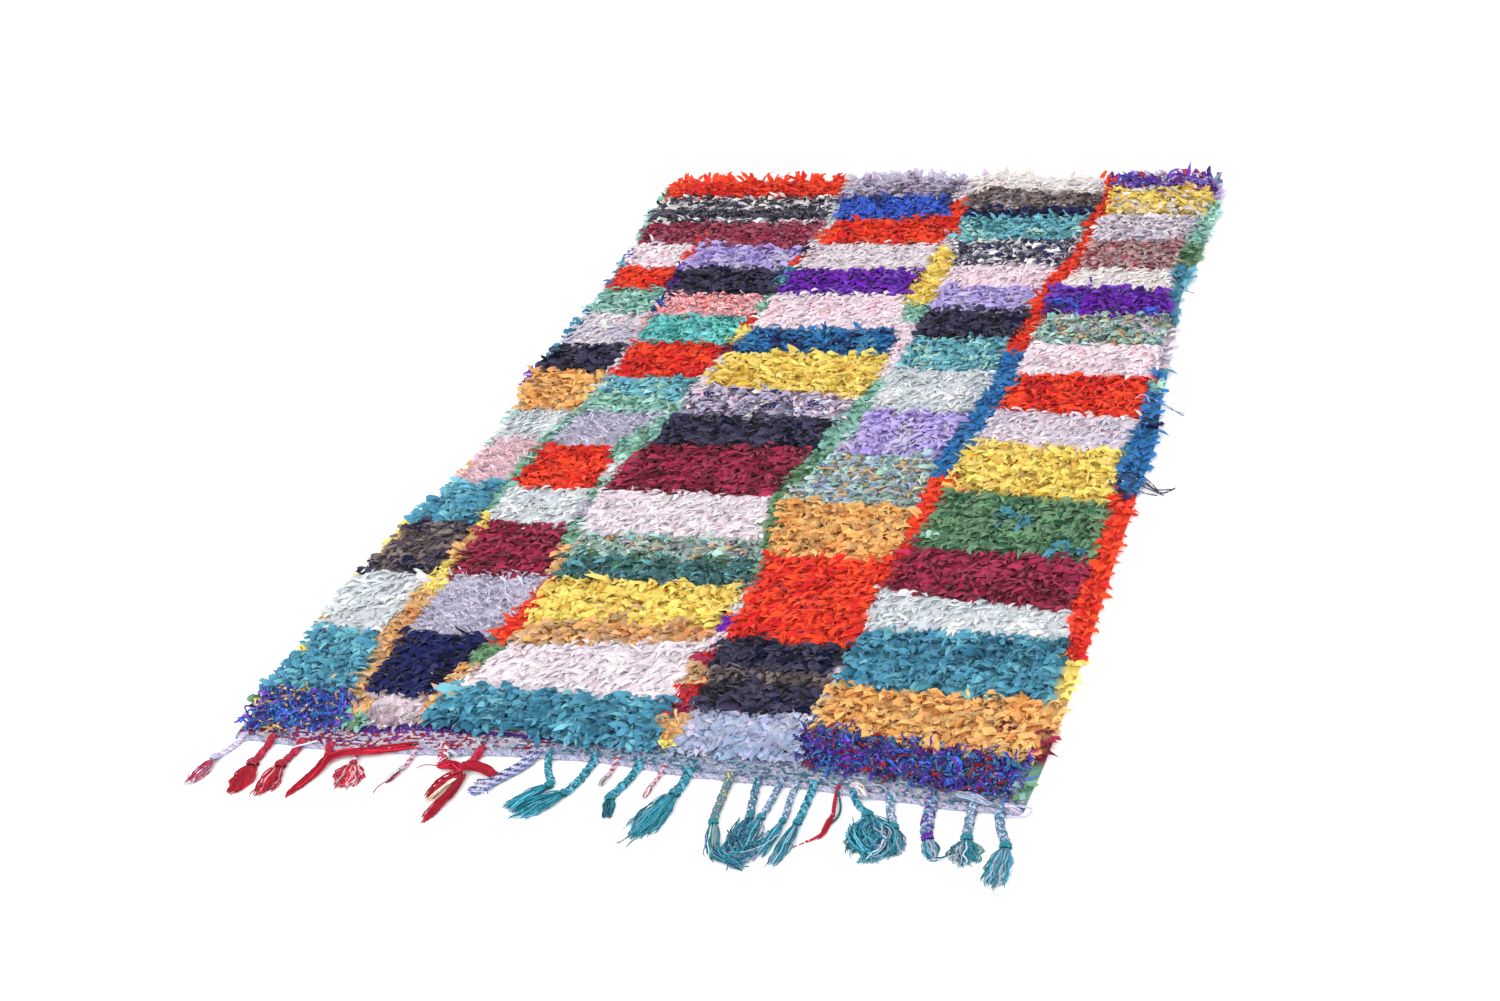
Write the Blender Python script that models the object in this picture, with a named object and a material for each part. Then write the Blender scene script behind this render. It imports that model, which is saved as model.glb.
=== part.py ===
"""A boucherouite rug laid flat: a deep rag pile on a woven ground, and a knotted fringe at one end.

Metres, +Z up. X runs across the rug, Y along it with the fringe at -Y, and the underside lies at Z = 0.
The origin is the middle of the cloth's underside. Places in the tables are measured from the cloth's near
left corner: "across" to the right, "along" away from the fringe.
"""

from collections import namedtuple

import bmesh
import bpy
import numpy as np
from mathutils import Vector

# Cloth
CLOTH_WIDTH = 1.50
CLOTH_LENGTH = 2.57
BAND_THICKNESS = 0.005
BAND_LEFT = -0.012
BAND_RIGHT = 1.488

# Pile
PILE_CREST = 0.031
PILE_VALLEY = 0.021
PILE_RIM = 0.016
TUFTS_ACROSS = 30
TUFT_ROWS = 88
LUMP_HEIGHT = 0.005
LUMP_SHIFT = 0.007
RIM_SHIFT = 0.004
RIM_INSET = 0.014
SEED = 11

# Locks of rag that stand out round the pile's rim
LOCK_REACH = 0.024
LOCK_REACH_SPREAD = 0.008
LOCK_SWAY = 0.012
LOCK_TIP_HEIGHT = 0.005
LOCK_TIP_SPREAD = 0.003
LOCK_EVERY = 3
LOCKS_OF_THOSE = 2

# End cord and tassels
CORD_WIDTH = 0.010
CORD_HEIGHT = 0.008
CORD_GAP = 0.0003
STEM_STEP = 0.014
STEM_HEIGHT = 0.010
PLAIT_BULGE = 0.16
KNOT_HEIGHT = 0.014
STRAND_HEIGHT = 0.009
SECTION_TAPER = 0.72

# How far a knot's sections lie from each other, as shares of its length
KNOT_SHOULDER = 0.4
KNOT_WAIST = 0.5
KNOT_END = 0.4

# A tuft's strands: width at the root, share of the tuft that they fill, where they are widest, and how far
# they belly out and their ends differ
STRAND_ROOT = 0.006
STRAND_FILL = 0.66
STRAND_WAIST = 0.55
STRAND_BELLY = 0.16
STRAND_SHORTEST = -0.16
STRAND_LONGEST = 0.06

SideEdge = namedtuple("SideEdge", "along left_out right_out")
SIDE_EDGES = (
    SideEdge(0.00, 0.000, 0.000),
    SideEdge(0.13, 0.031, 0.008),
    SideEdge(0.30, 0.014, 0.014),
    SideEdge(0.50, 0.030, 0.020),
    SideEdge(0.74, 0.006, 0.022),
    SideEdge(0.97, -0.030, 0.026),
    SideEdge(1.20, -0.050, 0.033),
    SideEdge(1.45, -0.016, 0.017),
    SideEdge(1.60, -0.032, 0.011),
    SideEdge(1.90, -0.038, -0.008),
    SideEdge(2.17, -0.025, 0.010),
    SideEdge(2.37, -0.001, 0.020),
    SideEdge(2.57, 0.000, 0.006),
)

NearEnd = namedtuple("NearEnd", "across pile_along cloth_along")
NEAR_END = (
    NearEnd(0.00, 0.038, 0.022),
    NearEnd(0.25, 0.072, 0.010),
    NearEnd(0.35, 0.090, 0.020),
    NearEnd(0.58, 0.087, 0.038),
    NearEnd(0.72, 0.073, 0.040),
    NearEnd(0.92, 0.070, 0.020),
    NearEnd(1.08, 0.060, 0.016),
    NearEnd(1.25, 0.045, 0.003),
    NearEnd(1.38, 0.020, -0.008),
    NearEnd(1.50, 0.017, -0.007),
)

Hump = namedtuple("Hump", "across along rise radius")
HUMPS = (
    Hump(0.69, 2.52, 0.012, 0.10),
    Hump(0.93, 2.51, 0.016, 0.11),
    Hump(1.40, 2.52, 0.013, 0.09),
    Hump(0.30, 1.55, 0.005, 0.16),
    Hump(1.05, 0.80, 0.005, 0.20),
)

Tassel = namedtuple(
    "Tassel",
    "root knot_across knot_along tip_across tip_along width knot_width knot_length spread strands",
)
TASSELS = (
    Tassel(0.010, -0.014, -0.045, -0.034, -0.127, 0.013, 0.018, 0.014, 0.014, 4),
    Tassel(0.070, 0.068, -0.050, 0.067, -0.140, 0.012, 0.026, 0.016, 0.020, 5),
    Tassel(0.130, 0.121, -0.044, 0.118, -0.133, 0.012, 0.024, 0.016, 0.017, 5),
    Tassel(0.202, 0.188, -0.052, 0.163, -0.127, 0.014, 0.018, 0.012, 0.008, 3),
    Tassel(0.245, 0.250, -0.030, 0.257, -0.088, 0.012, 0.044, 0.034, 0.019, 5),
    Tassel(0.366, 0.364, -0.032, 0.345, -0.074, 0.010, 0.012, 0.010, 0.005, 2),
    Tassel(0.490, 0.478, -0.016, 0.461, -0.151, 0.014, 0.080, 0.026, 0.024, 6),
    Tassel(0.586, 0.566, -0.022, 0.522, -0.080, 0.022, 0.028, 0.014, 0.011, 3),
    Tassel(0.622, 0.634, -0.042, 0.585, -0.108, 0.010, 0.015, 0.018, 0.010, 4),
    Tassel(0.706, 0.684, -0.058, 0.606, -0.132, 0.012, 0.018, 0.012, 0.011, 4),
    Tassel(0.752, 0.750, -0.006, 0.744, -0.036, 0.010, 0.011, 0.008, 0.004, 2),
    Tassel(0.793, 0.770, -0.060, 0.782, -0.114, 0.012, 0.019, 0.014, 0.006, 3),
    Tassel(0.844, 0.838, -0.020, 0.832, -0.056, 0.009, 0.010, 0.008, 0.004, 2),
    Tassel(0.893, 0.888, -0.034, 0.846, -0.162, 0.015, 0.024, 0.014, 0.022, 6),
    Tassel(0.962, 0.974, -0.083, 0.996, -0.193, 0.013, 0.018, 0.014, 0.011, 4),
    Tassel(1.022, 1.030, -0.080, 1.033, -0.190, 0.012, 0.016, 0.014, 0.009, 4),
    Tassel(1.056, 1.060, -0.072, 1.066, -0.199, 0.012, 0.016, 0.014, 0.009, 4),
    Tassel(1.089, 1.094, -0.090, 1.096, -0.174, 0.012, 0.016, 0.012, 0.008, 4),
    Tassel(1.122, 1.126, -0.095, 1.122, -0.192, 0.012, 0.016, 0.014, 0.009, 4),
    Tassel(1.164, 1.176, -0.070, 1.158, -0.147, 0.009, 0.010, 0.010, 0.004, 2),
    Tassel(1.192, 1.233, -0.052, 1.266, -0.132, 0.010, 0.060, 0.044, 0.028, 6),
    Tassel(1.264, 1.302, -0.076, 1.318, -0.146, 0.013, 0.016, 0.012, 0.008, 4),
    Tassel(1.330, 1.338, -0.085, 1.362, -0.143, 0.016, 0.019, 0.014, 0.010, 4),
    Tassel(1.402, 1.414, -0.079, 1.421, -0.153, 0.014, 0.024, 0.014, 0.021, 5),
    Tassel(1.450, 1.475, -0.091, 1.470, -0.198, 0.014, 0.022, 0.014, 0.017, 5),
)

# Colours as the photograph's large areas show them, in linear light
PILE_COLOUR = (0.36, 0.22, 0.24, 1.0)
BAND_COLOUR = (0.42, 0.38, 0.50, 1.0)
FRINGE_COLOUR = (0.06, 0.24, 0.30, 1.0)
CLOTH_ROUGHNESS = 0.95


def clear_scene():
    for thing in list(bpy.data.objects):
        bpy.data.objects.remove(thing, do_unlink=True)


def cloth_material(name, colour):
    material = bpy.data.materials.new(name)
    material.use_nodes = True
    shader = material.node_tree.nodes["Principled BSDF"]
    shader.inputs["Base Color"].default_value = colour
    shader.inputs["Roughness"].default_value = CLOTH_ROUGHNESS
    shader.inputs["Metallic"].default_value = 0.0
    return material


def column(table, name):
    return [getattr(row, name) for row in table]


def smooth_step(values, at, stations):
    """Reads a table smoothly: eased from one row to the next, so that an edge has no corners."""
    at = float(np.clip(at, stations[0], stations[-1]))
    index = int(np.clip(np.searchsorted(stations, at, side="right") - 1, 0, len(stations) - 2))
    part = (at - stations[index]) / (stations[index + 1] - stations[index])
    eased = part * part * (3 - 2 * part)
    return values[index] + (values[index + 1] - values[index]) * eased


def left_edge(along):
    return -smooth_step(column(SIDE_EDGES, "left_out"), along, column(SIDE_EDGES, "along"))


def right_edge(along):
    out = smooth_step(column(SIDE_EDGES, "right_out"), along, column(SIDE_EDGES, "along"))
    return CLOTH_WIDTH + out


def pile_edge(across):
    return smooth_step(column(NEAR_END, "pile_along"), across, column(NEAR_END, "across"))


def cloth_edge(across):
    return smooth_step(column(NEAR_END, "cloth_along"), across, column(NEAR_END, "across"))


def place(across, along, height):
    return Vector((across - CLOTH_WIDTH / 2, along - CLOTH_LENGTH / 2, height))


def tassel_sides(tassel):
    return tassel.root - tassel.width / 2, tassel.root + tassel.width / 2


def front_stations():
    """Where the cloth's near edge and the end cord bend: both ends, and each side of each tassel's root."""
    stations = [BAND_LEFT]
    for tassel in TASSELS:
        stations.extend(tassel_sides(tassel))
    stations.append(BAND_RIGHT)
    return stations


def hump_rise(across, along):
    rise = 0.0
    for hump in HUMPS:
        squared = (across - hump.across) ** 2 + (along - hump.along) ** 2
        rise += hump.rise * np.exp(-squared / (2 * (hump.radius / 2) ** 2))
    return rise


def pile_point(row, tuft, chance):
    """One point of the pile's top. Rows of tufts make crests and valleys across the rug."""
    share = tuft / TUFTS_ACROSS
    near = pile_edge(share * CLOTH_WIDTH)
    along = near + (CLOTH_LENGTH - RIM_INSET - near) * row / TUFT_ROWS
    left = left_edge(along) + RIM_INSET
    right = right_edge(along) - RIM_INSET
    across = left + (right - left) * share
    on_rim = row in (0, TUFT_ROWS) or tuft in (0, TUFTS_ACROSS)
    shift = RIM_SHIFT if on_rim else LUMP_SHIFT
    across += chance.uniform(-shift, shift)
    along += chance.uniform(-shift, shift)
    if on_rim:
        height = PILE_RIM
    else:
        height = PILE_CREST if row % 2 else PILE_VALLEY
    height += chance.uniform(-LUMP_HEIGHT, LUMP_HEIGHT) + hump_rise(across, along)
    return across, along, height


def add_lock(mesh, wall, outward, chance):
    """Draws a wall's quad out to a point: a lock of rag with four sides."""
    middle = sum((corner.co for corner in wall), Vector()) / len(wall)
    sideways = Vector((-outward.y, outward.x, 0))
    reach = LOCK_REACH + chance.uniform(-LOCK_REACH_SPREAD, LOCK_REACH_SPREAD)
    tip = middle + outward * reach + sideways * chance.uniform(-LOCK_SWAY, LOCK_SWAY)
    tip.z = LOCK_TIP_HEIGHT + chance.uniform(-LOCK_TIP_SPREAD, LOCK_TIP_SPREAD)
    point = mesh.verts.new(tip)
    for first, second in zip(wall, wall[1:] + wall[:1]):
        mesh.faces.new((first, second, point))


def add_rim(mesh, top, bottom, outward, chance):
    """Closes one side of the pile with a wall, of which most parts are drawn out as locks."""
    for index in range(1, len(top) - 1):
        wall = [top[index], top[index + 1], bottom[index + 1], bottom[index]]
        if index % LOCK_EVERY < LOCKS_OF_THOSE:
            add_lock(mesh, wall, outward, chance)
        else:
            mesh.faces.new(wall)


def build_rug():
    chance = np.random.default_rng(SEED)
    mesh = bmesh.new()
    top = []
    for row in range(TUFT_ROWS + 1):
        points = [pile_point(row, tuft, chance) for tuft in range(TUFTS_ACROSS + 1)]
        top.append([mesh.verts.new(place(*point)) for point in points])
    for row in range(TUFT_ROWS):
        for tuft in range(TUFTS_ACROSS):
            corners = (top[row][tuft], top[row][tuft + 1], top[row + 1][tuft + 1], top[row + 1][tuft])
            mesh.faces.new(corners)

    def below(vertex, height):
        return mesh.verts.new((vertex.co.x, vertex.co.y, height))

    left_top = [row[0] for row in top]
    right_top = [row[-1] for row in top]
    far_top = top[-1]
    left_low = [below(vertex, 0) for vertex in left_top]
    right_low = [below(vertex, 0) for vertex in right_top]
    far_low = [left_low[-1]] + [below(vertex, 0) for vertex in far_top[1:-1]] + [right_low[-1]]
    foot = [below(vertex, BAND_THICKNESS) for vertex in top[0]]
    edge_points = [(across, cloth_edge(across)) for across in front_stations()]
    edge_top = [mesh.verts.new(place(across, along, BAND_THICKNESS)) for across, along in edge_points]
    edge_low = [mesh.verts.new(place(across, along, 0)) for across, along in edge_points]

    add_rim(mesh, left_top, left_low, Vector((-1, 0, 0)), chance)
    add_rim(mesh, right_top, right_low, Vector((1, 0, 0)), chance)
    add_rim(mesh, far_top, far_low, Vector((0, 1, 0)), chance)
    mesh.faces.new((far_top[0], far_top[1], far_low[1], far_low[0]))
    mesh.faces.new((left_top[0], left_top[1], left_low[1], left_low[0], foot[0]))
    mesh.faces.new((right_top[0], right_top[1], right_low[1], right_low[0], foot[-1]))
    for index in range(TUFTS_ACROSS):
        mesh.faces.new((top[0][index], top[0][index + 1], foot[index + 1], foot[index]))
    for index in range(len(edge_top) - 1):
        mesh.faces.new((edge_top[index], edge_top[index + 1], edge_low[index + 1], edge_low[index]))
    mesh.faces.new((foot[0], edge_top[0], edge_low[0], left_low[0]))
    mesh.faces.new((foot[-1], edge_top[-1], edge_low[-1], right_low[0]))
    band_top = mesh.faces.new(foot + edge_top[::-1])
    band_top.material_index = 1
    mesh.faces.new(edge_low + right_low + far_low[-2:0:-1] + left_low[::-1])
    return finish_object(
        "rug",
        mesh,
        (cloth_material("rag pile", PILE_COLOUR), cloth_material("woven band", BAND_COLOUR)),
    )


def stem_route(tassel, start):
    """Middle points of a tassel's stem: it leaves the cord square and bends towards its knot."""
    knot = place(tassel.knot_across, tassel.knot_along, 0)
    bend = Vector((start.x, (start.y + knot.y) / 2, 0))
    steps = max(2, round((knot - start).length / STEM_STEP))
    route = []
    for step in range(steps + 1):
        part = step / steps
        route.append(start * (1 - part) ** 2 + bend * 2 * part * (1 - part) + knot * part ** 2)
    return route


def head_width(tassel):
    return min(tassel.knot_width, STRAND_ROOT * tassel.strands)


def ring_points(middle, along, width, height, columns=1):
    """A flat-bottomed section square to the way it runs: points along its foot, then along its top."""
    side = Vector((-along.y, along.x, 0)).normalized() * width
    foot = [middle + side * (part / columns - 0.5) for part in range(columns + 1)]
    crown = [middle + side * (part / columns - 0.5) * SECTION_TAPER for part in range(columns + 1)]
    for point in crown:
        point.z = height
    return foot, crown


def add_ring(mesh, *section):
    foot, crown = ring_points(*section)
    return [mesh.verts.new(point) for point in foot], [mesh.verts.new(point) for point in crown]


def bridge(mesh, before, after):
    """Walls between two sections. Either may have more points along its foot and top than the other."""
    feet, crowns = (before[0], after[0]), (before[1], after[1])
    mesh.faces.new(feet[0] + feet[1][::-1])
    mesh.faces.new(crowns[0] + crowns[1][::-1])
    mesh.faces.new((before[0][0], after[0][0], after[1][0], before[1][0]))
    mesh.faces.new((before[0][-1], after[0][-1], after[1][-1], before[1][-1]))


def add_strands(mesh, tassel, head, middle, along, chance):
    """Splits a knot's end face into strands that fan out to their tips."""
    side = Vector((-along.y, along.x, 0))
    tip_middle = place(tassel.tip_across, tassel.tip_along, 0)
    for index in range(tassel.strands):
        root = (head[0][index : index + 2], head[1][index : index + 2])
        fan = 2 * (index + 0.5) / tassel.strands - 1
        tip = tip_middle + side * fan * tassel.spread
        tip += (tip_middle - middle) * chance.uniform(STRAND_SHORTEST, STRAND_LONGEST)
        start = (root[0][0].co + root[0][1].co) / 2
        start.z = 0
        centre = start.lerp(tip, STRAND_WAIST) + side * fan * tassel.spread * STRAND_BELLY
        tuft_width = (head_width(tassel) + 2 * tassel.spread) / 2
        width = STRAND_FILL * tuft_width / tassel.strands
        waist = add_ring(mesh, centre, (tip - start).normalized(), width, STRAND_HEIGHT)
        bridge(mesh, root, waist)
        point = mesh.verts.new(tip)
        around = [waist[0][0], waist[0][1], waist[1][1], waist[1][0]]
        for first, second in zip(around, around[1:] + around[:1]):
            mesh.faces.new((first, second, point))


def add_tassel(mesh, tassel, root, chance):
    """Stem, knot and strands, grown from one front face of the end cord."""
    start = (root[0][0].co + root[0][1].co) / 2
    start.z = 0
    route = stem_route(tassel, start)
    last = root
    for index in range(1, len(route)):
        along = (route[index] - route[index - 1]).normalized()
        bulge = 1 + (PLAIT_BULGE if index % 2 else -PLAIT_BULGE)
        section = add_ring(mesh, route[index], along, tassel.width * bulge, STEM_HEIGHT * bulge)
        bridge(mesh, last, section)
        last = section
    tip = place(tassel.tip_across, tassel.tip_along, 0)
    onward = (tip - route[-1]).normalized()
    turning = (along + onward).normalized()
    middle = route[-1]
    for direction, share in ((turning, KNOT_SHOULDER), (onward, KNOT_WAIST)):
        middle = middle + direction * tassel.knot_length * share
        section = add_ring(mesh, middle, direction, tassel.knot_width, KNOT_HEIGHT)
        bridge(mesh, last, section)
        last = section
    along = onward
    end = middle + along * tassel.knot_length * KNOT_END
    head = add_ring(mesh, end, along, head_width(tassel), STRAND_HEIGHT, tassel.strands)
    bridge(mesh, last, head)
    add_strands(mesh, tassel, head, end, along, chance)


def build_fringe():
    chance = np.random.default_rng(SEED + 1)
    mesh = bmesh.new()
    stations = front_stations()
    rows = ([], [], [], [])
    for across in stations:
        back = cloth_edge(across) - CORD_GAP
        front = back - CORD_WIDTH
        corners = ((front, 0), (front, CORD_HEIGHT), (back, CORD_HEIGHT), (back, 0))
        for row, (along, height) in zip(rows, corners):
            row.append(mesh.verts.new(place(across, along, height)))
    front_low, front_top, back_top, back_low = rows
    roots = range(1, len(stations) - 1, 2)
    for index in range(len(stations) - 1):
        for lower, upper in ((front_top, back_top), (back_top, back_low), (back_low, front_low)):
            mesh.faces.new((lower[index], lower[index + 1], upper[index + 1], upper[index]))
        if index not in roots:
            face = (front_low[index], front_low[index + 1], front_top[index + 1], front_top[index])
            mesh.faces.new(face)
    for end in (0, -1):
        mesh.faces.new((front_low[end], front_top[end], back_top[end], back_low[end]))
    for index, tassel in zip(roots, TASSELS):
        root = (front_low[index : index + 2], front_top[index : index + 2])
        add_tassel(mesh, tassel, root, chance)
    return finish_object("fringe", mesh, (cloth_material("tassel yarn", FRINGE_COLOUR),))


def finish_object(name, mesh, materials):
    bmesh.ops.recalc_face_normals(mesh, faces=mesh.faces)
    data = bpy.data.meshes.new(name)
    mesh.to_mesh(data)
    mesh.free()
    for material in materials:
        data.materials.append(material)
    thing = bpy.data.objects.new(name, data)
    bpy.context.scene.collection.objects.link(thing)
    return thing


def main():
    clear_scene()
    build_rug()
    build_fringe()


main()
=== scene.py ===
"""The looks of a boucherouite rug: rag pile in blocks of colour on a woven ground, and a knotted fringe.

Metres, +Z up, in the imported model's frame. X runs across the rug and Y along it, with the fringe at -Y.
Places in the tables are measured from the cloth's near left corner: "across" to the right, "along" away
from the fringe.
"""

from collections import namedtuple

import bpy
import numpy as np
from mathutils import Matrix, Vector


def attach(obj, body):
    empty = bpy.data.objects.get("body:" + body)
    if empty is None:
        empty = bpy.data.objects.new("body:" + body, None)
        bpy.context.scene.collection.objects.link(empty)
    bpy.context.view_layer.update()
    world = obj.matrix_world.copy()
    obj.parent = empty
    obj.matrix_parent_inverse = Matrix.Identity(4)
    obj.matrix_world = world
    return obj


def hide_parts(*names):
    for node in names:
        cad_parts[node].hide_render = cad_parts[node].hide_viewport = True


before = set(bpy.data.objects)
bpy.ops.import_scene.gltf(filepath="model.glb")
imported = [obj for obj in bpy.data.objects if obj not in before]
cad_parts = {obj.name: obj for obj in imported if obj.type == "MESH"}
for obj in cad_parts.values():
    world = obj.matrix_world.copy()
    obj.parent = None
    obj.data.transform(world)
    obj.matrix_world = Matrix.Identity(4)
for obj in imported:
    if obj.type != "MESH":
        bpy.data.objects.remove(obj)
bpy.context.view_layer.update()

# Cloth
CLOTH_WIDTH = 1.50
CLOTH_LENGTH = 2.57
GROUND_THICKNESS = 0.0035
BAND_TOP = 0.0042
BAND_LEFT = -0.012
BAND_RIGHT = 1.488
SEED = 11

SideEdge = namedtuple("SideEdge", "along left_out right_out")
SIDE_EDGES = (
    SideEdge(0.00, 0.000, 0.000),
    SideEdge(0.13, 0.031, 0.008),
    SideEdge(0.30, 0.014, 0.014),
    SideEdge(0.50, 0.030, 0.020),
    SideEdge(0.74, 0.006, 0.022),
    SideEdge(0.97, -0.030, 0.026),
    SideEdge(1.20, -0.050, 0.033),
    SideEdge(1.45, -0.016, 0.017),
    SideEdge(1.60, -0.032, 0.011),
    SideEdge(1.90, -0.038, -0.008),
    SideEdge(2.17, -0.025, 0.010),
    SideEdge(2.37, -0.001, 0.020),
    SideEdge(2.57, 0.000, 0.006),
)

NearEnd = namedtuple("NearEnd", "across pile_along cloth_along")
NEAR_END = (
    NearEnd(0.00, 0.038, 0.022),
    NearEnd(0.25, 0.072, 0.010),
    NearEnd(0.35, 0.090, 0.020),
    NearEnd(0.58, 0.087, 0.038),
    NearEnd(0.72, 0.073, 0.040),
    NearEnd(0.92, 0.070, 0.020),
    NearEnd(1.08, 0.060, 0.016),
    NearEnd(1.25, 0.045, 0.003),
    NearEnd(1.38, 0.020, -0.008),
    NearEnd(1.50, 0.017, -0.007),
)

Hump = namedtuple("Hump", "across along rise radius")
HUMPS = (
    Hump(0.69, 2.52, 0.012, 0.10),
    Hump(0.93, 2.51, 0.016, 0.11),
    Hump(1.40, 2.52, 0.013, 0.09),
    Hump(0.30, 1.55, 0.005, 0.16),
    Hump(1.05, 0.80, 0.005, 0.20),
)

# Colours in sRGB, in 0 to 255
COLOURS = {
    "teal": (82, 152, 179),
    "pale_teal": (120, 190, 206),
    "deep_teal": (52, 118, 145),
    "jade": (122, 216, 210),
    "deep_jade": (70, 166, 162),
    "green": (113, 153, 116),
    "deep_green": (60, 112, 82),
    "sage": (184, 224, 212),
    "deep_sage": (140, 192, 180),
    "sage_teal": (98, 162, 168),
    "slate_teal": (66, 112, 116),
    "grey_sage": (150, 170, 164),
    "tan": (206, 170, 120),
    "mint": (205, 212, 218),
    "mint_shade": (192, 200, 207),
    "white": (248, 246, 244),
    "cream": (236, 225, 223),
    "white_pink": (225, 213, 222),
    "ash_pink": (186, 172, 180),
    "pink": (250, 232, 240),
    "soft_pink": (232, 201, 210),
    "deep_pink": (244, 212, 222),
    "brown_pink": (202, 164, 166),
    "dusty_pink": (178, 142, 142),
    "dusty_red": (178, 84, 110),
    "rust": (196, 92, 52),
    "mustard": (240, 190, 118),
    "deep_mustard": (224, 158, 88),
    "gold": (222, 178, 60),
    "yellow": (246, 222, 122),
    "deep_yellow": (234, 200, 92),
    "orange_red": (246, 78, 40),
    "red": (222, 40, 38),
    "crimson": (150, 20, 42),
    "roving": (162, 18, 42),
    "maroon": (170, 46, 82),
    "deep_maroon": (124, 28, 52),
    "lilac": (202, 186, 238),
    "deep_lilac": (176, 156, 220),
    "lavender": (202, 197, 216),
    "grey_lavender": (178, 178, 204),
    "pale_blue": (172, 182, 208),
    "grey_blue": (146, 166, 198),
    "blue": (58, 102, 212),
    "indigo": (62, 60, 160),
    "cobalt": (44, 122, 184),
    "mid_blue": (50, 124, 190),
    "navy": (26, 34, 92),
    "deep_navy": (16, 20, 58),
    "purple": (122, 36, 188),
    "deep_purple": (78, 26, 136),
    "violet": (128, 80, 204),
    "grey": (188, 173, 198),
    "dark_grey": (104, 98, 112),
    "charcoal": (70, 66, 94),
    "black": (30, 30, 40),
    "brown": (134, 118, 116),
    "deep_brown": (90, 78, 82),
    "yarn_teal": (30, 118, 134),
    "yarn_deep_teal": (14, 78, 96),
    "yarn_grey": (144, 156, 176),
    "tweed": (146, 158, 178),
    "dark_tweed": (92, 106, 146),
}

Kind = namedtuple(
    "Kind",
    "steps sides row pitch per_knot shortest longest narrowest widest droop droop_spread "
    "wander curl waves wave roll cup fold crumple root taper slant",
)
PETAL = Kind(
    steps=5, sides=3, row=0.031, pitch=0.0108, per_knot=2, shortest=0.038, longest=0.052,
    narrowest=0.013, widest=0.023, droop=-6, droop_spread=13, wander=22, curl=26, waves=0.9, wave=14,
    roll=13, cup=0.20, fold=0.15, crumple=0.0017, root=0.45, taper=0.42, slant=0.46,
)
FLAKE = PETAL._replace(
    steps=4, sides=2, row=0.029, pitch=0.0077, narrowest=0.010, widest=0.017, shortest=0.036,
    longest=0.049, droop=-8, droop_spread=10, wander=20, curl=22, wave=11, roll=9, crumple=0.0011,
    taper=0.5, slant=0.5,
)
THIN = FLAKE._replace(
    row=0.028, pitch=0.0074, narrowest=0.009, widest=0.016, droop=-12, droop_spread=4, roll=4, wave=5,
    cup=0.07, fold=0.05, crumple=0.0005,
)
NEEDLE = PETAL._replace(
    steps=4, sides=2, row=0.022, pitch=0.0105, per_knot=3, narrowest=0.0035, widest=0.0062,
    shortest=0.028, longest=0.038, droop=8, droop_spread=22, wander=52, curl=50, roll=50, cup=0.5,
    fold=0.1, crumple=0.0010, root=0.8, taper=0.5, slant=0.5,
)
FOLDED = PETAL._replace(
    row=0.021, pitch=0.011, shortest=0.024, longest=0.031, narrowest=0.010, widest=0.016, droop=-24,
    droop_spread=12, cup=0.5, wander=24, taper=0.2,
)
SMOOTH = FOLDED._replace(
    shortest=0.028, longest=0.038, narrowest=0.014, widest=0.022, cup=0.30, roll=8, crumple=0.0010, fold=0.10,
)
YARN = PETAL._replace(
    steps=10, sides=2, row=0.018, pitch=0.0095, per_knot=3, narrowest=0.0026, widest=0.0052,
    shortest=0.036, longest=0.056, droop=-14, droop_spread=18, wander=70, curl=130, waves=1.5, wave=42,
    roll=40, cup=0.5, fold=0.0, crumple=0.0010, root=1.0, taper=0.2, slant=0.3,
)
KINDS = (PETAL, FLAKE, THIN, NEEDLE, FOLDED, SMOOTH, YARN)

# A rag's tints run from one shade to another, and neighbours share a shade. A mixed rag's change sooner.
Rag = namedtuple("Rag", "kind tints fleck share mixed")


def dyed(kind, tints, fleck="white", share=0.0, mixed=False):
    return Rag(kind, tints.split(), fleck, share, mixed)


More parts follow.
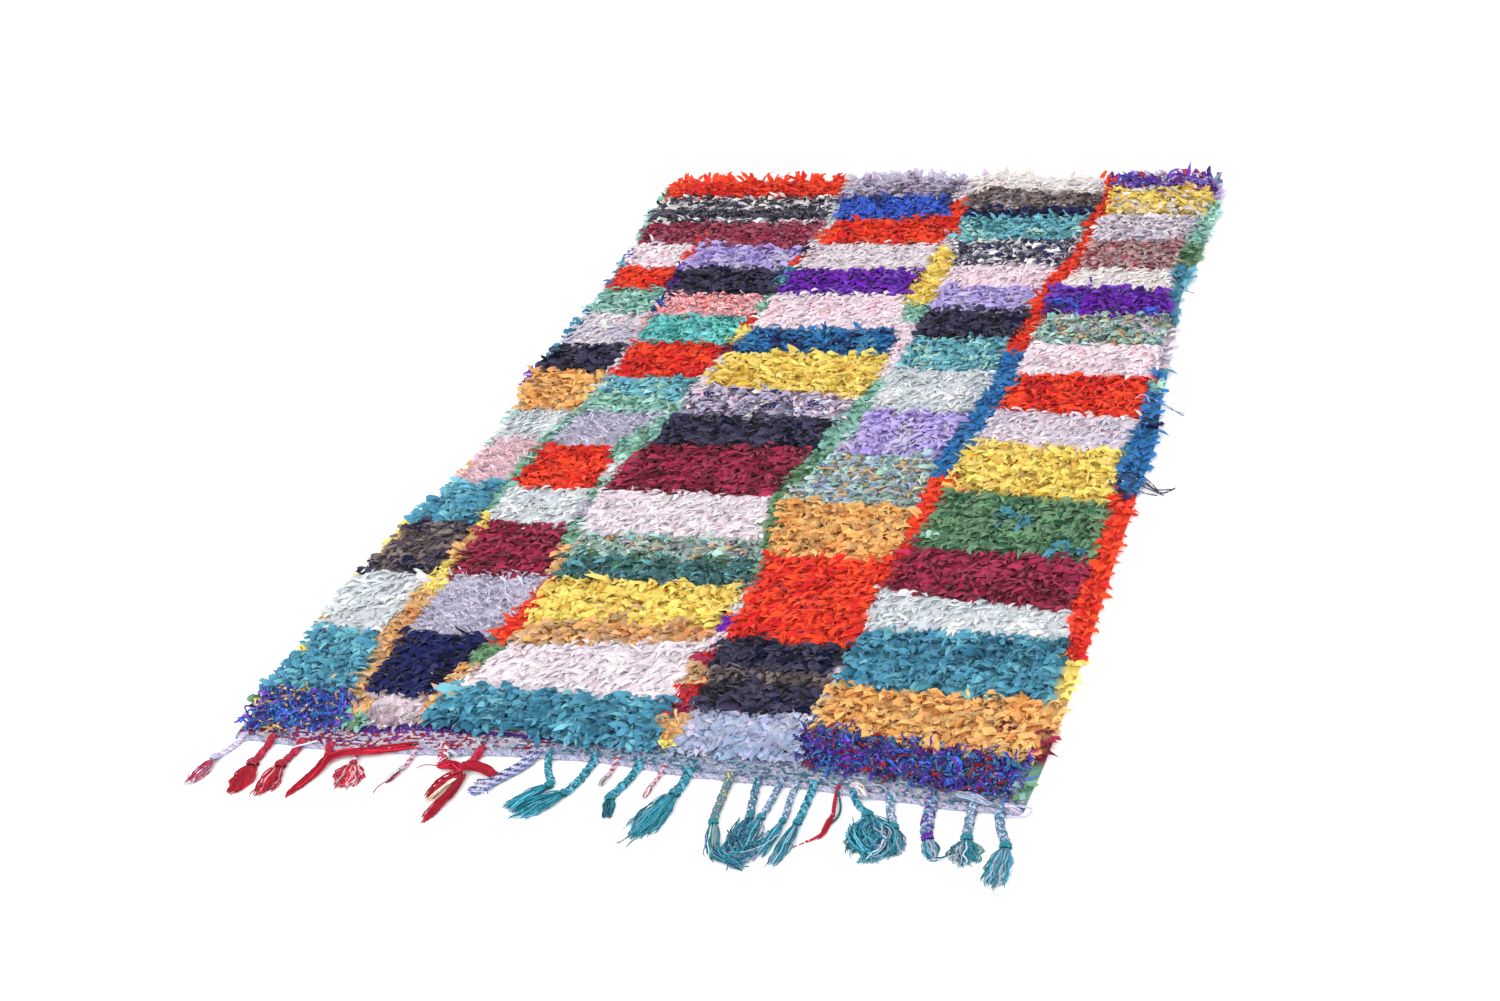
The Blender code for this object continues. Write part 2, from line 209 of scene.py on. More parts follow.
RAGS = {
    "plum yarn": dyed(
        YARN,
        "blue indigo deep_teal purple indigo deep_purple cobalt crimson indigo navy indigo blue "
        "cobalt dark_tweed",
        "tan", 0.08, True,
    ),
    "blue yarn": dyed(
        YARN, "blue cobalt indigo violet cobalt indigo blue navy tan indigo cobalt",
        "tan", 0.08, True,
    ),
    "far plum yarn": dyed(
        FLAKE, "violet indigo deep_lilac violet deep_purple maroon grey violet",
        "lilac", 0.12, True,
    ),
    "teal": dyed(PETAL, "deep_teal teal teal teal pale_teal"),
    "light teal": dyed(PETAL, "teal teal teal pale_teal pale_teal", "pale_teal", 0.1),
    "mint": dyed(THIN, "mint_shade mint mint mint white", "white", 0.2),
    "brown and navy": dyed(FLAKE, "deep_navy charcoal brown deep_brown brown"),
    "pink needles": dyed(NEEDLE, "soft_pink soft_pink deep_pink soft_pink soft_pink", "white", 0.1),
    "light mustard": dyed(PETAL, "deep_mustard mustard mustard mustard tan"),
    "mustard": dyed(PETAL, "deep_mustard mustard tan mustard tan", "brown_pink", 0.25),
    "charcoal": dyed(PETAL, "black charcoal charcoal charcoal deep_navy"),
    "brown charcoal": dyed(FLAKE, "deep_brown deep_brown brown brown brown"),
    "lavender white": dyed(THIN, "lavender lavender white_pink white_pink white"),
    "sage": dyed(FLAKE, "deep_sage sage sage deep_sage deep_sage"),
    "red": dyed(FLAKE, "red red orange_red orange_red orange_red"),
    "pink": dyed(THIN, "deep_pink pink pink pink white_pink", "white", 0.1),
    "maroon": dyed(FLAKE, "deep_maroon maroon dusty_red maroon dusty_red", "brown_pink", 0.1),
    "dark maroon": dyed(FLAKE, "deep_maroon deep_maroon maroon maroon maroon"),
    "black and white": dyed(
        FLAKE, "black white charcoal white black white_pink charcoal", "white", 0.1, True
    ),
    "navy and white": dyed(
        FLAKE, "navy white_pink charcoal white navy lavender charcoal", "white", 0.1, True
    ),
    "dark grey": dyed(FLAKE, "black charcoal dark_grey charcoal dark_grey", "lavender", 0.12),
    "white folds": dyed(FOLDED, "ash_pink white_pink ash_pink white_pink brown_pink", "brown_pink", 0.2),
    "navy": dyed(FLAKE, "deep_navy navy navy navy navy"),
    "lavender needles": dyed(NEEDLE, "grey_lavender lavender lavender lavender lavender", "white", 0.2),
    "jade": dyed(FLAKE, "deep_jade jade jade jade pale_teal"),
    "pink red print": dyed(FLAKE, "pink white_pink deep_pink pink", "orange_red", 0.42),
    "lilac": dyed(FLAKE, "deep_lilac lilac lilac lilac lavender"),
    "white pink": dyed(THIN, "pink white_pink white_pink white_pink white", "white", 0.2),
    "yellow": dyed(PETAL, "deep_yellow yellow yellow yellow yellow"),
    "pale yellow": dyed(PETAL, "deep_yellow yellow yellow cream yellow"),
    "sage teal": dyed(PETAL, "slate_teal slate_teal slate_teal sage_teal deep_green", "mint", 0.05),
    "speckled sage": dyed(
        FLAKE, "sage deep_sage grey_sage sage grey_sage tan grey sage_teal",
        "cream", 0.2, True,
    ),
    "multi pale": dyed(
        FLAKE, "white_pink lavender navy lavender grey deep_pink pale_blue dark_grey white",
        "lilac", 0.2, True,
    ),
    "cobalt": dyed(FLAKE, "navy cobalt cobalt cobalt teal"),
    "mid blue": dyed(FLAKE, "cobalt mid_blue mid_blue mid_blue teal"),
    "purple": dyed(FLAKE, "deep_purple purple purple purple violet"),
    "blue": dyed(FLAKE, "navy blue blue blue blue", "lavender", 0.05),
    "grey": dyed(FLAKE, "dark_grey grey grey lavender lavender", "white", 0.12),
    "pale blue": dyed(SMOOTH, "grey_blue pale_blue pale_blue pale_blue lavender"),
    "sage blue print": dyed(
        FLAKE, "sage mint grey_sage pale_blue sage tan mint grey_blue",
        "cobalt", 0.08, True,
    ),
    "teal green": dyed(FLAKE, "sage_teal pale_teal pale_teal pale_teal sage"),
    "brown": dyed(FLAKE, "deep_brown brown brown ash_pink brown"),
    "cream": dyed(THIN, "cream cream white white white_pink", "brown_pink", 0.05),
    "green": dyed(FLAKE, "deep_green green green green green"),
    "brown pink": dyed(
        FLAKE, "ash_pink brown_pink dusty_pink brown_pink dusty_red brown_pink ash_pink",
        "rust", 0.1, True,
    ),
    "lilac white": dyed(FLAKE, "white_pink white_pink white white_pink lavender", "lilac", 0.12),
    "pale print": dyed(THIN, "lavender white_pink white_pink pink lavender", "grey_lavender", 0.1),
    "crimson": dyed(FLAKE, "crimson red maroon"),
    "deep sage": dyed(FLAKE, "deep_sage green deep_sage deep_sage sage"),
    "dull teal": dyed(PETAL, "sage_teal teal slate_teal"),
    "edge yellow": dyed(FLAKE, "deep_yellow yellow yellow yellow yellow"),
    "edge mustard": dyed(FLAKE, "deep_mustard mustard mustard mustard tan"),
    "tufts": dyed(SMOOTH, "deep_green green deep_sage deep_sage green"),
}

# The blocks of each column from the near end on: where each begins, and where at its right side if it slants
Block = namedtuple("Block", "near rag near_right", defaults=(None,))
COLUMN_A = (
    Block(0.003, "blue yarn", 0.042), Block(0.158, "light teal"), Block(0.358, "mint"),
    Block(0.566, "brown and navy"), Block(0.763, "light teal"), Block(0.930, "pink needles"),
    Block(1.125, "mint"), Block(1.257, "light mustard"), Block(1.439, "charcoal"),
    Block(1.565, "lavender white"), Block(1.742, "sage"), Block(1.873, "red"), Block(1.996, "pink"),
    Block(2.141, "maroon", 2.133), Block(2.263, "black and white"), Block(2.283, "dark grey"),
    Block(2.345, "black and white"), Block(2.425, "red"),
)
COLUMN_B = (
    Block(0.060, "white folds"), Block(0.166, "navy"), Block(0.364, "lavender needles"),
    Block(0.570, "dark maroon", 0.586), Block(0.772, "mint"), Block(0.916, "red"),
    Block(1.101, "lavender needles"), Block(1.258, "sage"), Block(1.350, "teal green", 1.310),
    Block(1.418, "red"), Block(1.581, "jade"), Block(1.728, "pink red print"), Block(1.849, "charcoal"),
    Block(1.993, "lilac"), Block(2.133, "maroon", 2.114), Block(2.263, "black and white"),
    Block(2.283, "dark grey"), Block(2.345, "black and white"), Block(2.425, "red"),
)
COLUMN_C = (
    Block(0.048, "teal"), Block(0.202, "white pink"), Block(0.344, "mustard", 0.392),
    Block(0.412, "yellow", 0.444), Block(0.579, "sage teal"), Block(0.664, "speckled sage"),
    Block(0.752, "white pink"), Block(0.920, "dark maroon"), Block(1.118, "charcoal"),
    Block(1.244, "multi pale"), Block(1.388, "yellow", 1.348), Block(1.549, "cobalt"),
    Block(1.679, "pink"), Block(1.858, "purple"), Block(1.992, "white pink"), Block(2.144, "red"),
    Block(2.272, "blue", 2.311), Block(2.425, "grey"),
)
COLUMN_D = (
    Block(0.041, "pale blue", 0.020), Block(0.190, "charcoal"), Block(0.276, "brown charcoal"),
    Block(0.318, "charcoal"), Block(0.408, "red"), Block(0.698, "light mustard"),
    Block(0.911, "sage blue print", 0.888), Block(1.095, "lilac", 1.111), Block(1.291, "mint"),
    Block(1.488, "teal green"), Block(1.635, "charcoal"), Block(1.778, "lilac"), Block(1.903, "pink"),
    Block(2.025, "navy and white"), Block(2.162, "teal green"), Block(2.305, "navy"),
    Block(2.334, "brown", 2.368), Block(2.450, "cream"),
)
COLUMN_E = (
    Block(0.026, "plum yarn", 0.007), Block(0.153, "light mustard", 0.109), Block(0.284, "teal"),
    Block(0.466, "mint"), Block(0.596, "dark maroon", 0.559), Block(0.751, "green", 0.735),
    Block(0.970, "yellow", 0.948), Block(1.170, "pale print", 1.145), Block(1.313, "red", 1.290),
    Block(1.476, "pink"), Block(1.622, "speckled sage"), Block(1.769, "purple"),
    Block(1.915, "cream", 1.895), Block(2.007, "brown pink"), Block(2.161, "lilac white"),
    Block(2.316, "pale yellow"), Block(2.464, "far plum yarn"),
)
COLUMNS = (COLUMN_A, COLUMN_B, COLUMN_C, COLUMN_D, COLUMN_E)

# Narrow seams part the columns. Each runs between its left and right side, and the last is the right edge's.
Seam = namedtuple("Seam", "along ab ab_end bc bc_end cd cd_end de de_end right")
SEAMS = (
    Seam(0.05, 0.200, 0.248, 0.330, 0.345, 0.824, 0.834, 1.085, 1.095, 1.468),
    Seam(0.11, 0.188, 0.224, 0.332, 0.348, 0.810, 0.842, 1.070, 1.080, 1.476),
    Seam(0.16, 0.165, 0.189, 0.332, 0.350, 0.800, 0.850, 1.060, 1.070, 1.480),
    Seam(0.36, 0.135, 0.186, 0.361, 0.424, 0.793, 0.832, 1.080, 1.092, 1.484),
    Seam(0.57, 0.153, 0.190, 0.405, 0.420, 0.822, 0.838, 1.085, 1.100, 1.463),
    Seam(0.76, 0.165, 0.187, 0.370, 0.411, 0.803, 0.825, 1.090, 1.115, 1.475),
    Seam(0.92, 0.155, 0.185, 0.375, 0.390, 0.772, 0.806, 1.088, 1.135, 1.475),
    Seam(1.12, 0.170, 0.200, 0.358, 0.440, 0.805, 0.865, 1.085, 1.140, 1.457),
    Seam(1.25, 0.210, 0.222, 0.420, 0.448, 0.829, 0.892, 1.105, 1.160, 1.480),
    Seam(1.43, 0.210, 0.234, 0.455, 0.482, 0.862, 0.892, 1.130, 1.189, 1.475),
    Seam(1.57, 0.214, 0.236, 0.459, 0.486, 0.865, 0.908, 1.125, 1.178, 1.469),
    Seam(1.74, 0.208, 0.231, 0.475, 0.503, 0.852, 0.909, 1.150, 1.186, 1.484),
    Seam(1.88, 0.210, 0.233, 0.488, 0.508, 0.834, 0.911, 1.146, 1.178, 1.464),
    Seam(2.00, 0.197, 0.215, 0.490, 0.521, 0.847, 0.914, 1.172, 1.222, 1.450),
    Seam(2.13, 0.203, 0.221, 0.506, 0.526, 0.852, 0.890, 1.195, 1.231, 1.448),
    Seam(2.29, 0.210, 0.210, 0.510, 0.545, 0.847, 0.872, 1.194, 1.230, 1.472),
    Seam(2.43, 0.210, 0.210, 0.508, 0.519, 0.815, 0.870, 1.213, 1.236, 1.499),
    Seam(2.57, 0.210, 0.210, 0.498, 0.510, 0.860, 0.878, 1.196, 1.215, 1.492),
)
LEFT_SEAM_WIDTH = 0.014

# The rags along each seam, from the near end on, and the left and right edge's
Run = namedtuple("Run", "near rag")
LEFT_EDGE = (
    Run(0.00, "blue yarn"), Run(0.10, "tufts"), Run(0.13, "blue yarn"), Run(0.158, "light teal"),
    Run(0.29, "edge yellow"), Run(0.305, "light teal"), Run(0.385, "edge mustard"), Run(0.405, "mint"),
    Run(0.44, "sage"), Run(0.46, "mint"), Run(0.545, "edge yellow"), Run(0.575, "brown and navy"),
    Run(0.64, "edge yellow"), Run(0.775, "light teal"), Run(0.93, "pink needles"),
    Run(0.975, "edge mustard"), Run(1.00, "pink needles"), Run(1.10, "deep sage"), Run(1.13, "mint"),
    Run(1.22, "sage"), Run(1.32, "light mustard"), Run(1.375, "purple"), Run(1.50, "teal"),
    Run(1.75, "cobalt"), Run(1.97, "teal"), Run(2.06, "blue"), Run(2.14, "sage"), Run(2.40, "tufts"),
)
SEAM_AB = (
    Run(0.00, "tufts"), Run(0.11, "mustard"), Run(0.50, "yellow"), Run(0.63, "mustard"),
    Run(0.72, "yellow"), Run(0.81, "deep sage"), Run(1.28, "lavender white"), Run(1.64, "pink red print"),
    Run(1.75, "blue"), Run(1.86, "purple"), Run(2.03, "red"),
)
SEAM_BC = (
    Run(0.00, "mustard"), Run(0.28, "green"), Run(0.35, "red"), Run(0.59, "mustard"),
    Run(0.70, "deep sage"), Run(0.81, "grey"), Run(0.87, "deep sage"), Run(0.97, "mint"),
    Run(1.04, "deep sage"), Run(1.31, "white pink"), Run(1.53, "maroon"), Run(1.60, "yellow"),
    Run(1.68, "red"), Run(1.74, "deep sage"), Run(1.92, "teal"), Run(2.01, "red"), Run(2.07, "navy"),
    Run(2.14, "mint"),
)
SEAM_CD = (
    Run(0.00, "yellow"), Run(0.10, "mustard"), Run(0.16, "dark maroon"), Run(0.20, "crimson"),
    Run(0.25, "mustard"), Run(0.32, "crimson"), Run(0.365, "white pink"), Run(0.43, "purple"),
    Run(0.49, "mint"), Run(0.60, "deep sage"), Run(0.72, "green"), Run(1.06, "deep sage"),
    Run(1.43, "pink"), Run(1.72, "deep sage"), Run(1.81, "yellow"), Run(2.12, "white pink"),
    Run(2.20, "red"), Run(2.41, "pale print"),
)
SEAM_DE = (
    Run(0.00, "navy"), Run(0.14, "white pink"), Run(0.37, "pale blue"), Run(0.44, "red"),
    Run(0.52, "mint"), Run(0.62, "red"), Run(1.02, "mid blue"), Run(1.58, "red"),
)
RIGHT_EDGE = (
    Run(0.00, "tufts"), Run(0.12, "dark maroon"), Run(0.20, "edge mustard"), Run(0.30, "edge yellow"),
    Run(0.42, "red"), Run(1.00, "mid blue"), Run(1.26, "navy"), Run(1.29, "cobalt"), Run(1.33, "mid blue"),
    Run(1.43, "sage"), Run(1.47, "red"), Run(1.485, "mid blue"), Run(1.52, "pale print"),
    Run(1.73, "teal"), Run(2.04, "green"), Run(2.15, "sage"), Run(2.44, "lilac"), Run(2.52, "teal"),
)
SEAM_RUNS = (LEFT_EDGE, SEAM_AB, SEAM_BC, SEAM_CD, SEAM_DE, RIGHT_EDGE)

# Odd bits of another rag, within a radius of a place, and their share of the strips there
Accent = namedtuple("Accent", "across along radius share rag")
ACCENTS = (
    Accent(1.280, 0.868, 0.022, 0.85, "dull teal"),
    Accent(1.312, 0.862, 0.022, 0.85, "dull teal"),
    Accent(1.395, 0.765, 0.020, 0.80, "dull teal"),
    Accent(1.440, 0.760, 0.024, 0.80, "dull teal"),
    Accent(1.137, 0.795, 0.016, 0.90, "sage"),
    Accent(0.372, 0.352, 0.014, 0.90, "dull teal"),
    Accent(1.23, 1.815, 0.042, 0.60, "blue"),
    Accent(1.42, 1.795, 0.025, 0.30, "blue"),
    Accent(0.640, 0.705, 0.016, 0.80, "brown"),
    Accent(0.30, 0.24, 0.009, 0.90, "white pink"),
    Accent(0.60, 0.45, 0.050, 0.35, "mustard"),
    Accent(1.16, 0.98, 0.030, 0.35, "mustard"),
    Accent(1.30, 1.05, 0.030, 0.22, "mustard"),
    Accent(1.42, 0.19, 0.020, 0.40, "dark maroon"),
    Accent(1.493, 0.985, 0.017, 0.85, "navy"),
    Accent(1.475, 0.925, 0.012, 0.60, "navy"),
    Accent(1.47, 0.62, 0.020, 0.25, "dark maroon"),
    Accent(0.95, 0.56, 0.050, 0.25, "crimson"),
    Accent(0.11, 0.08, 0.045, 0.45, "blue"),
    Accent(0.985, 0.22, 0.020, 0.25, "navy"),
    Accent(0.64, 0.83, 0.030, 0.12, "pink"),
)

# Pile, with sizes in metres and angles in degrees
PATCH = 0.16
PATCH_TURN = 18
EDGE_RAGGED = 0.0035
PAST_EDGE = 0.06
ROW_SWAY = 0.0035
ROW_WAVES = 9
ROW_SPREAD = 0.14
KNOT_ACROSS = 0.3
KNOT_ALONG = 0.15
OPEN_BY = 0.45
EDGE_WAVE = 0.10
EDGE_WAVES = 7
CUP_LEVEL = 0.4
FOLD_WAVES = 1.5
ROUNDED_TIP = 0.3
CRUMPLED_BY = 0.3
STRAND_SHIFT = 0.1
RISE = 64
RISE_SPREAD = 9
BEND = 0.95
LEAN = -115
STANDING_SHARE = 0.03
STANDING_DROOP = 42
STANDING_SPREAD = 10
RIM_DEPTH = 0.026
RIM_INSET = 0.012
RIGHT_INSET = 0.015
NEAR_INSET = 0.006
SEEN_REACH = 0.023
RIM_DROOP = -26
FAR_RIM_DROOP = -2
RIM_DROOP_SPREAD = 12
RIM_SHARE = 0.66
RIM_SPREAD = 22
FAR_RIM_SPREAD = 62
RIM_SIZE = 0.62
NEAR_RIM_SIZE = 0.82
FAR_RIM_SIZE = 0.88
CORNER_ALONG = 0.16
CORNER_SIZE = 1.12
SEAM_SIZE = 0.80
CREASE_ANGLE = 28
TINT_SPREAD = 0.085
HUE_SPREAD = 0.03
BRIGHTEST = 0.95
LOWEST = 0.0012
PILE_FLOOR = 0.006
RIPPLE = 0.0015
RIPPLE_PITCH = 900
TALL = 0.044
PRESSED = 0.35
ROOT_HEIGHT = GROUND_THICKNESS * 0.8
PIECE_STARTS = (0.39, 0.84, 1.14)
PIECE_MIDDLE = 1.24

# Chance patterns: how much a strip's tint follows its patch, and how much is the strip's own
PATCH_WAVES = 6
PATCH_STRETCH = (0.7, 1.6)
PATCH_PEAK = 2.4
Mix = namedtuple("Mix", "patch by_patch by_strip seed")
SORTED = Mix(PATCH, 0.26, 0.22, SEED)
MIXED = Mix(PATCH / 3, 0.30, 0.14, SEED + 6)


def linear(colour):
    """A colour of the palette in linear light."""
    share = np.asarray(COLOURS[colour]) / 255
    return np.where(share <= 0.04045, share / 12.92, ((share + 0.055) / 1.055) ** 2.4)


def column(table, name):
    return np.array([getattr(row, name) for row in table])


def smooth_step(part):
    return part * part * (3 - 2 * part)


def eased(table, name, at):
    """Reads a table's column smoothly: eased from one row to the next, so that an edge has no corners."""
    stations, values = column(table, table[0]._fields[0]), column(table, name)
    at = np.clip(at, stations[0], stations[-1])
    index = np.clip(np.searchsorted(stations, at, side="right") - 1, 0, len(stations) - 2)
    part = (at - stations[index]) / (stations[index + 1] - stations[index])
    return values[index] + (values[index + 1] - values[index]) * smooth_step(part)


def left_edge(along):
    return -eased(SIDE_EDGES, "left_out", along)


def right_edge(along):
    return CLOTH_WIDTH + eased(SIDE_EDGES, "right_out", along)


def pile_edge(across):
    return eased(NEAR_END, "pile_along", across)


def cloth_edge(across):
    return eased(NEAR_END, "cloth_along", across)


def hump_rise(across, along):
    rise = np.zeros(np.broadcast(across, along).shape)
    for hump in HUMPS:
        squared = (across - hump.across) ** 2 + (along - hump.along) ** 2
        rise += hump.rise * np.exp(-squared / (2 * (hump.radius / 2) ** 2))
    return rise


def wavy(at, size, pitch, shift=0.0):
    """A swing of this size from side to side, where pitch is the turn in radians for each metre."""
    return size * np.sin(at * pitch + shift)


def patches(across, along, size, seed):
    """A smooth pattern of patches about this size, roughly from -1 to 1."""
    chance = np.random.default_rng(seed)
    total = np.zeros(np.broadcast(across, along).shape)
    turns = chance.uniform(0, np.pi, PATCH_WAVES)
    shifts = chance.uniform(0, 2 * np.pi, PATCH_WAVES)
    for turn, shift in zip(turns, shifts):
        stretch = chance.uniform(*PATCH_STRETCH) * 2 * np.pi / size
        total += np.sin((across * np.cos(turn) + along * np.sin(turn)) * stretch + shift)
    return total / PATCH_PEAK


def place(across, along, height):
    """Points in the model's frame from places on the cloth."""
    across, along, height = np.broadcast_arrays(across, along, height)
    return np.stack((across - CLOTH_WIDTH / 2, along - CLOTH_LENGTH / 2, height), axis=-1)


def route_of(points):
    """A route in the model's frame from a list of places on the cloth with their heights."""
    return np.array([place(*point) for point in points])


# Materials
SPECULAR = 0.18
SHEEN_ROUGHNESS = 0.5
STRAND_MAP = "strand"
BAKE_MAP = "OFBake"
FLECK_SIZE = 0.0042
WEAVE_FLECK = 0.0030
FLECK_SLOPE = 0.42
FLECK_SHARPNESS = 18.0
LEAST_FLECKS = 0.01
# Painted shade at the roots: the share of its tint that a rag strip keeps at its root, rising to the full
# tint at its tip
ROOT_PAINTED_SHADE = 0.92
# Painted shade at the roots of the yarn strips of the pile: the share of the tint kept at the root
YARN_ROOT_PAINTED_SHADE = 0.7
LIGHT_THROUGH = 0.24
PLY_SCALE = 160.0


def new_material(name, roughness, sheen):
    material = bpy.data.materials.new(name)
    material.use_nodes = True
    shader = material.node_tree.nodes["Principled BSDF"]
    shader.inputs["Roughness"].default_value = roughness
    shader.inputs["Specular IOR Level"].default_value = SPECULAR
    shader.inputs["Sheen Weight"].default_value = sheen
    shader.inputs["Sheen Roughness"].default_value = SHEEN_ROUGHNESS
    return material, material.node_tree, shader


def join(tree, value, socket):
    """Links an output to an input, or sets the input's value."""
    if isinstance(value, bpy.types.NodeSocket):
        tree.links.new(value, socket)
    else:
        socket.default_value = value


def maths(tree, operation, *values, clamp=False):
    node = tree.nodes.new("ShaderNodeMath")
    node.operation = operation
    node.use_clamp = clamp
    for value, socket in zip(values, node.inputs):
        join(tree, value, socket)
    return node.outputs[0]


def blend_colours(tree, way, share, first, second):
    node = tree.nodes.new("ShaderNodeMix")
    node.data_type = "RGBA"
    node.blend_type = way
    join(tree, share, node.inputs["Factor"])
    for value, socket in ((first, node.inputs[6]), (second, node.inputs[7])):
        join(tree, value, socket)
    return node.outputs[2]


def attribute(tree, name):
    node = tree.nodes.new("ShaderNodeAttribute")
    node.attribute_name = name
    return node


def noise(tree, where, scale, detail=2.0):
    node = tree.nodes.new("ShaderNodeTexNoise")
    node.inputs["Scale"].default_value = scale
    node.inputs["Detail"].default_value = detail
    tree.links.new(where, node.inputs["Vector"])
    return node.outputs["Fac"]


def ranged(tree, value, low, high):
    """Maps 0 to 1 onto low to high."""
    return maths(tree, "MULTIPLY_ADD", value, high - low, low)


def grey(tree, value):
    node = tree.nodes.new("ShaderNodeCombineColor")
    for socket in node.inputs[:3]:
        tree.links.new(value, socket)
    return node.outputs[0]


def bump(tree, height, distance, strength, before):
    """A relief, on top of the one before it, if there is one."""
    node = tree.nodes.new("ShaderNodeBump")
    node.inputs["Distance"].default_value = distance
    node.inputs["Strength"].default_value = strength
    tree.links.new(height, node.inputs["Height"])
    if before:
        tree.links.new(before, node.inputs["Normal"])
    return node.outputs["Normal"]


def strand_place(tree):
    """The place on a strip or yarn: across it and along it, in metres."""
    node = tree.nodes.new("ShaderNodeUVMap")
    node.uv_map = STRAND_MAP
    return node.outputs["UV"]


def flecked_colour(tree, where, fleck_size):
    """The tint with its flecks of the second colour, and the tint's alpha, a level of painted shade that
    makes it darker towards the root.
    """
    tint = attribute(tree, "tint")
    fleck = attribute(tree, "fleck")
    grain = noise(tree, where, scale=1 / fleck_size, detail=1.0)
    edge = maths(tree, "MULTIPLY_ADD", fleck.outputs["Alpha"], -FLECK_SLOPE, 0.5 + FLECK_SLOPE / 2)
    share = maths(tree, "SUBTRACT", grain, edge)
    share = maths(tree, "MULTIPLY_ADD", share, FLECK_SHARPNESS, 0.5, clamp=True)
    present = maths(tree, "GREATER_THAN", fleck.outputs["Alpha"], LEAST_FLECKS)
    share = maths(tree, "MULTIPLY", share, present)
    colour = blend_colours(tree, "MIX", share, tint.outputs["Color"], fleck.outputs["Color"])
    return colour, tint.outputs["Alpha"]


def let_light_through(tree, shader, colour, normal):
    """Thin cloth glows a little on the side away from the light."""
    thin = tree.nodes.new("ShaderNodeBsdfTranslucent")
    tree.links.new(colour, thin.inputs["Color"])
    tree.links.new(normal, thin.inputs["Normal"])
    both = tree.nodes.new("ShaderNodeMixShader")
    both.inputs["Fac"].default_value = LIGHT_THROUGH
    tree.links.new(shader.outputs["BSDF"], both.inputs[1])
    tree.links.new(thin.outputs["BSDF"], both.inputs[2])
    tree.links.new(both.outputs["Shader"], tree.nodes["Material Output"].inputs["Surface"])


def finish_surface(tree, shader, colour, shade, reliefs):
    """Shades the colour, and adds the reliefs: each a height, its depth in metres and its strength."""
    colour = blend_colours(tree, "MULTIPLY", 1.0, colour, grey(tree, shade))
    tree.links.new(colour, shader.inputs["Base Color"])
    normal = None
    for height, distance, strength in reliefs:
        normal = bump(tree, height, distance, strength, normal)
    tree.links.new(normal, shader.inputs["Normal"])
    return colour, normal


def rag_material():
    """Torn cotton and jersey: creased, with a fine weave, and a little fuzz that catches the light."""
    material, tree, shader = new_material("rag", roughness=0.92, sheen=0.12)
    where = tree.nodes.new("ShaderNodeTexCoord").outputs["Object"]
    colour, depth = flecked_colour(tree, where, FLECK_SIZE)
    worn = ranged(tree, noise(tree, where, scale=70, detail=3.0), low=0.88, high=1.14)
    # Painted shade: each strip is darker towards its root, where the strips crowd together, times a random
    # patchy tone
    shade = maths(tree, "MULTIPLY", worn, ranged(tree, depth, ROOT_PAINTED_SHADE, 1.0))
    creases = noise(tree, where, scale=230)
    weave = noise(tree, strand_place(tree), scale=1500, detail=1.0)
    reliefs = ((creases, 0.0016, 0.6), (weave, 0.0003, 0.6))
    colour, normal = finish_surface(tree, shader, colour, shade, reliefs)
    let_light_through(tree, shader, colour, normal)
    return material


def yarn_material():
    """Spun yarn of two plies, whose twist shows as slanting ridges, with painted shade in the grooves between
    them.
    """
    material, tree, shader = new_material("yarn", roughness=0.88, sheen=0.08)
    where = tree.nodes.new("ShaderNodeTexCoord").outputs["Object"]
    colour, depth = flecked_colour(tree, where, FLECK_SIZE)
    wave = tree.nodes.new("ShaderNodeTexWave")
    wave.wave_type = "BANDS"
    wave.bands_direction = "DIAGONAL"
    wave.inputs["Scale"].default_value = PLY_SCALE
    wave.inputs["Distortion"].default_value = 1.0
    tree.links.new(strand_place(tree), wave.inputs["Vector"])
    plies = wave.outputs["Fac"]
    # Painted shade in the grooves between the plies and a little painted highlight on their crests, from the
    # bands of the ply relief
    painted_ply_shading = ranged(tree, plies, low=0.78, high=1.1)
    # Painted shade: yarn strips of the pile are darker towards their roots; the cord's lower level gives it a
    # darker tone of its own
    shade = maths(tree, "MULTIPLY", painted_ply_shading, ranged(tree, depth, YARN_ROOT_PAINTED_SHADE, 1.0))
    uneven = noise(tree, where, scale=160, detail=3.0)
    shade = maths(tree, "MULTIPLY", shade, ranged(tree, uneven, low=0.75, high=1.25))
    fuzz = noise(tree, where, scale=900)
    finish_surface(tree, shader, colour, shade, ((plies, 0.0005, 0.8), (fuzz, 0.0004, 0.6)))
    return material


def weave_material():
    """The flat weave of ground and band: beads of weft, slubs and a fine nap."""
    material, tree, shader = new_material("flat weave", roughness=0.95, sheen=0.05)
    where = tree.nodes.new("ShaderNodeTexCoord").outputs["Object"]
    colour, depth = flecked_colour(tree, where, WEAVE_FLECK)
    uneven = noise(tree, where, scale=220, detail=3.0)
    # The tint's alpha is a level of painted shade: darker between the band's beads
    shade = maths(tree, "MULTIPLY", ranged(tree, uneven, low=0.72, high=1.22), depth)
    slubs = noise(tree, where, scale=420)
    nap = noise(tree, where, scale=1400, detail=1.0)
    finish_surface(tree, shader, colour, shade, ((slubs, 0.0012, 0.8), (nap, 0.0004, 0.6)))
    return material


# Meshes are gathered as grids: points (n, rows, columns, 3), with a colour each, joined at the end
# depth is a level from 0 to 1, kept in the tint's alpha, which the materials turn into painted shade: darker
# where it is low
Grid = namedtuple("Grid", "points tint fleck share depth strand closed")
CELL_FILL = 0.84


def quad_corners(values):
    """The four corners of each quad, from values at the points of grids (n, rows, columns, ...)."""
    corners = (values[:, :-1, :-1], values[:, :-1, 1:], values[:, 1:, 1:], values[:, 1:, :-1])
    return np.stack(corners, axis=3)


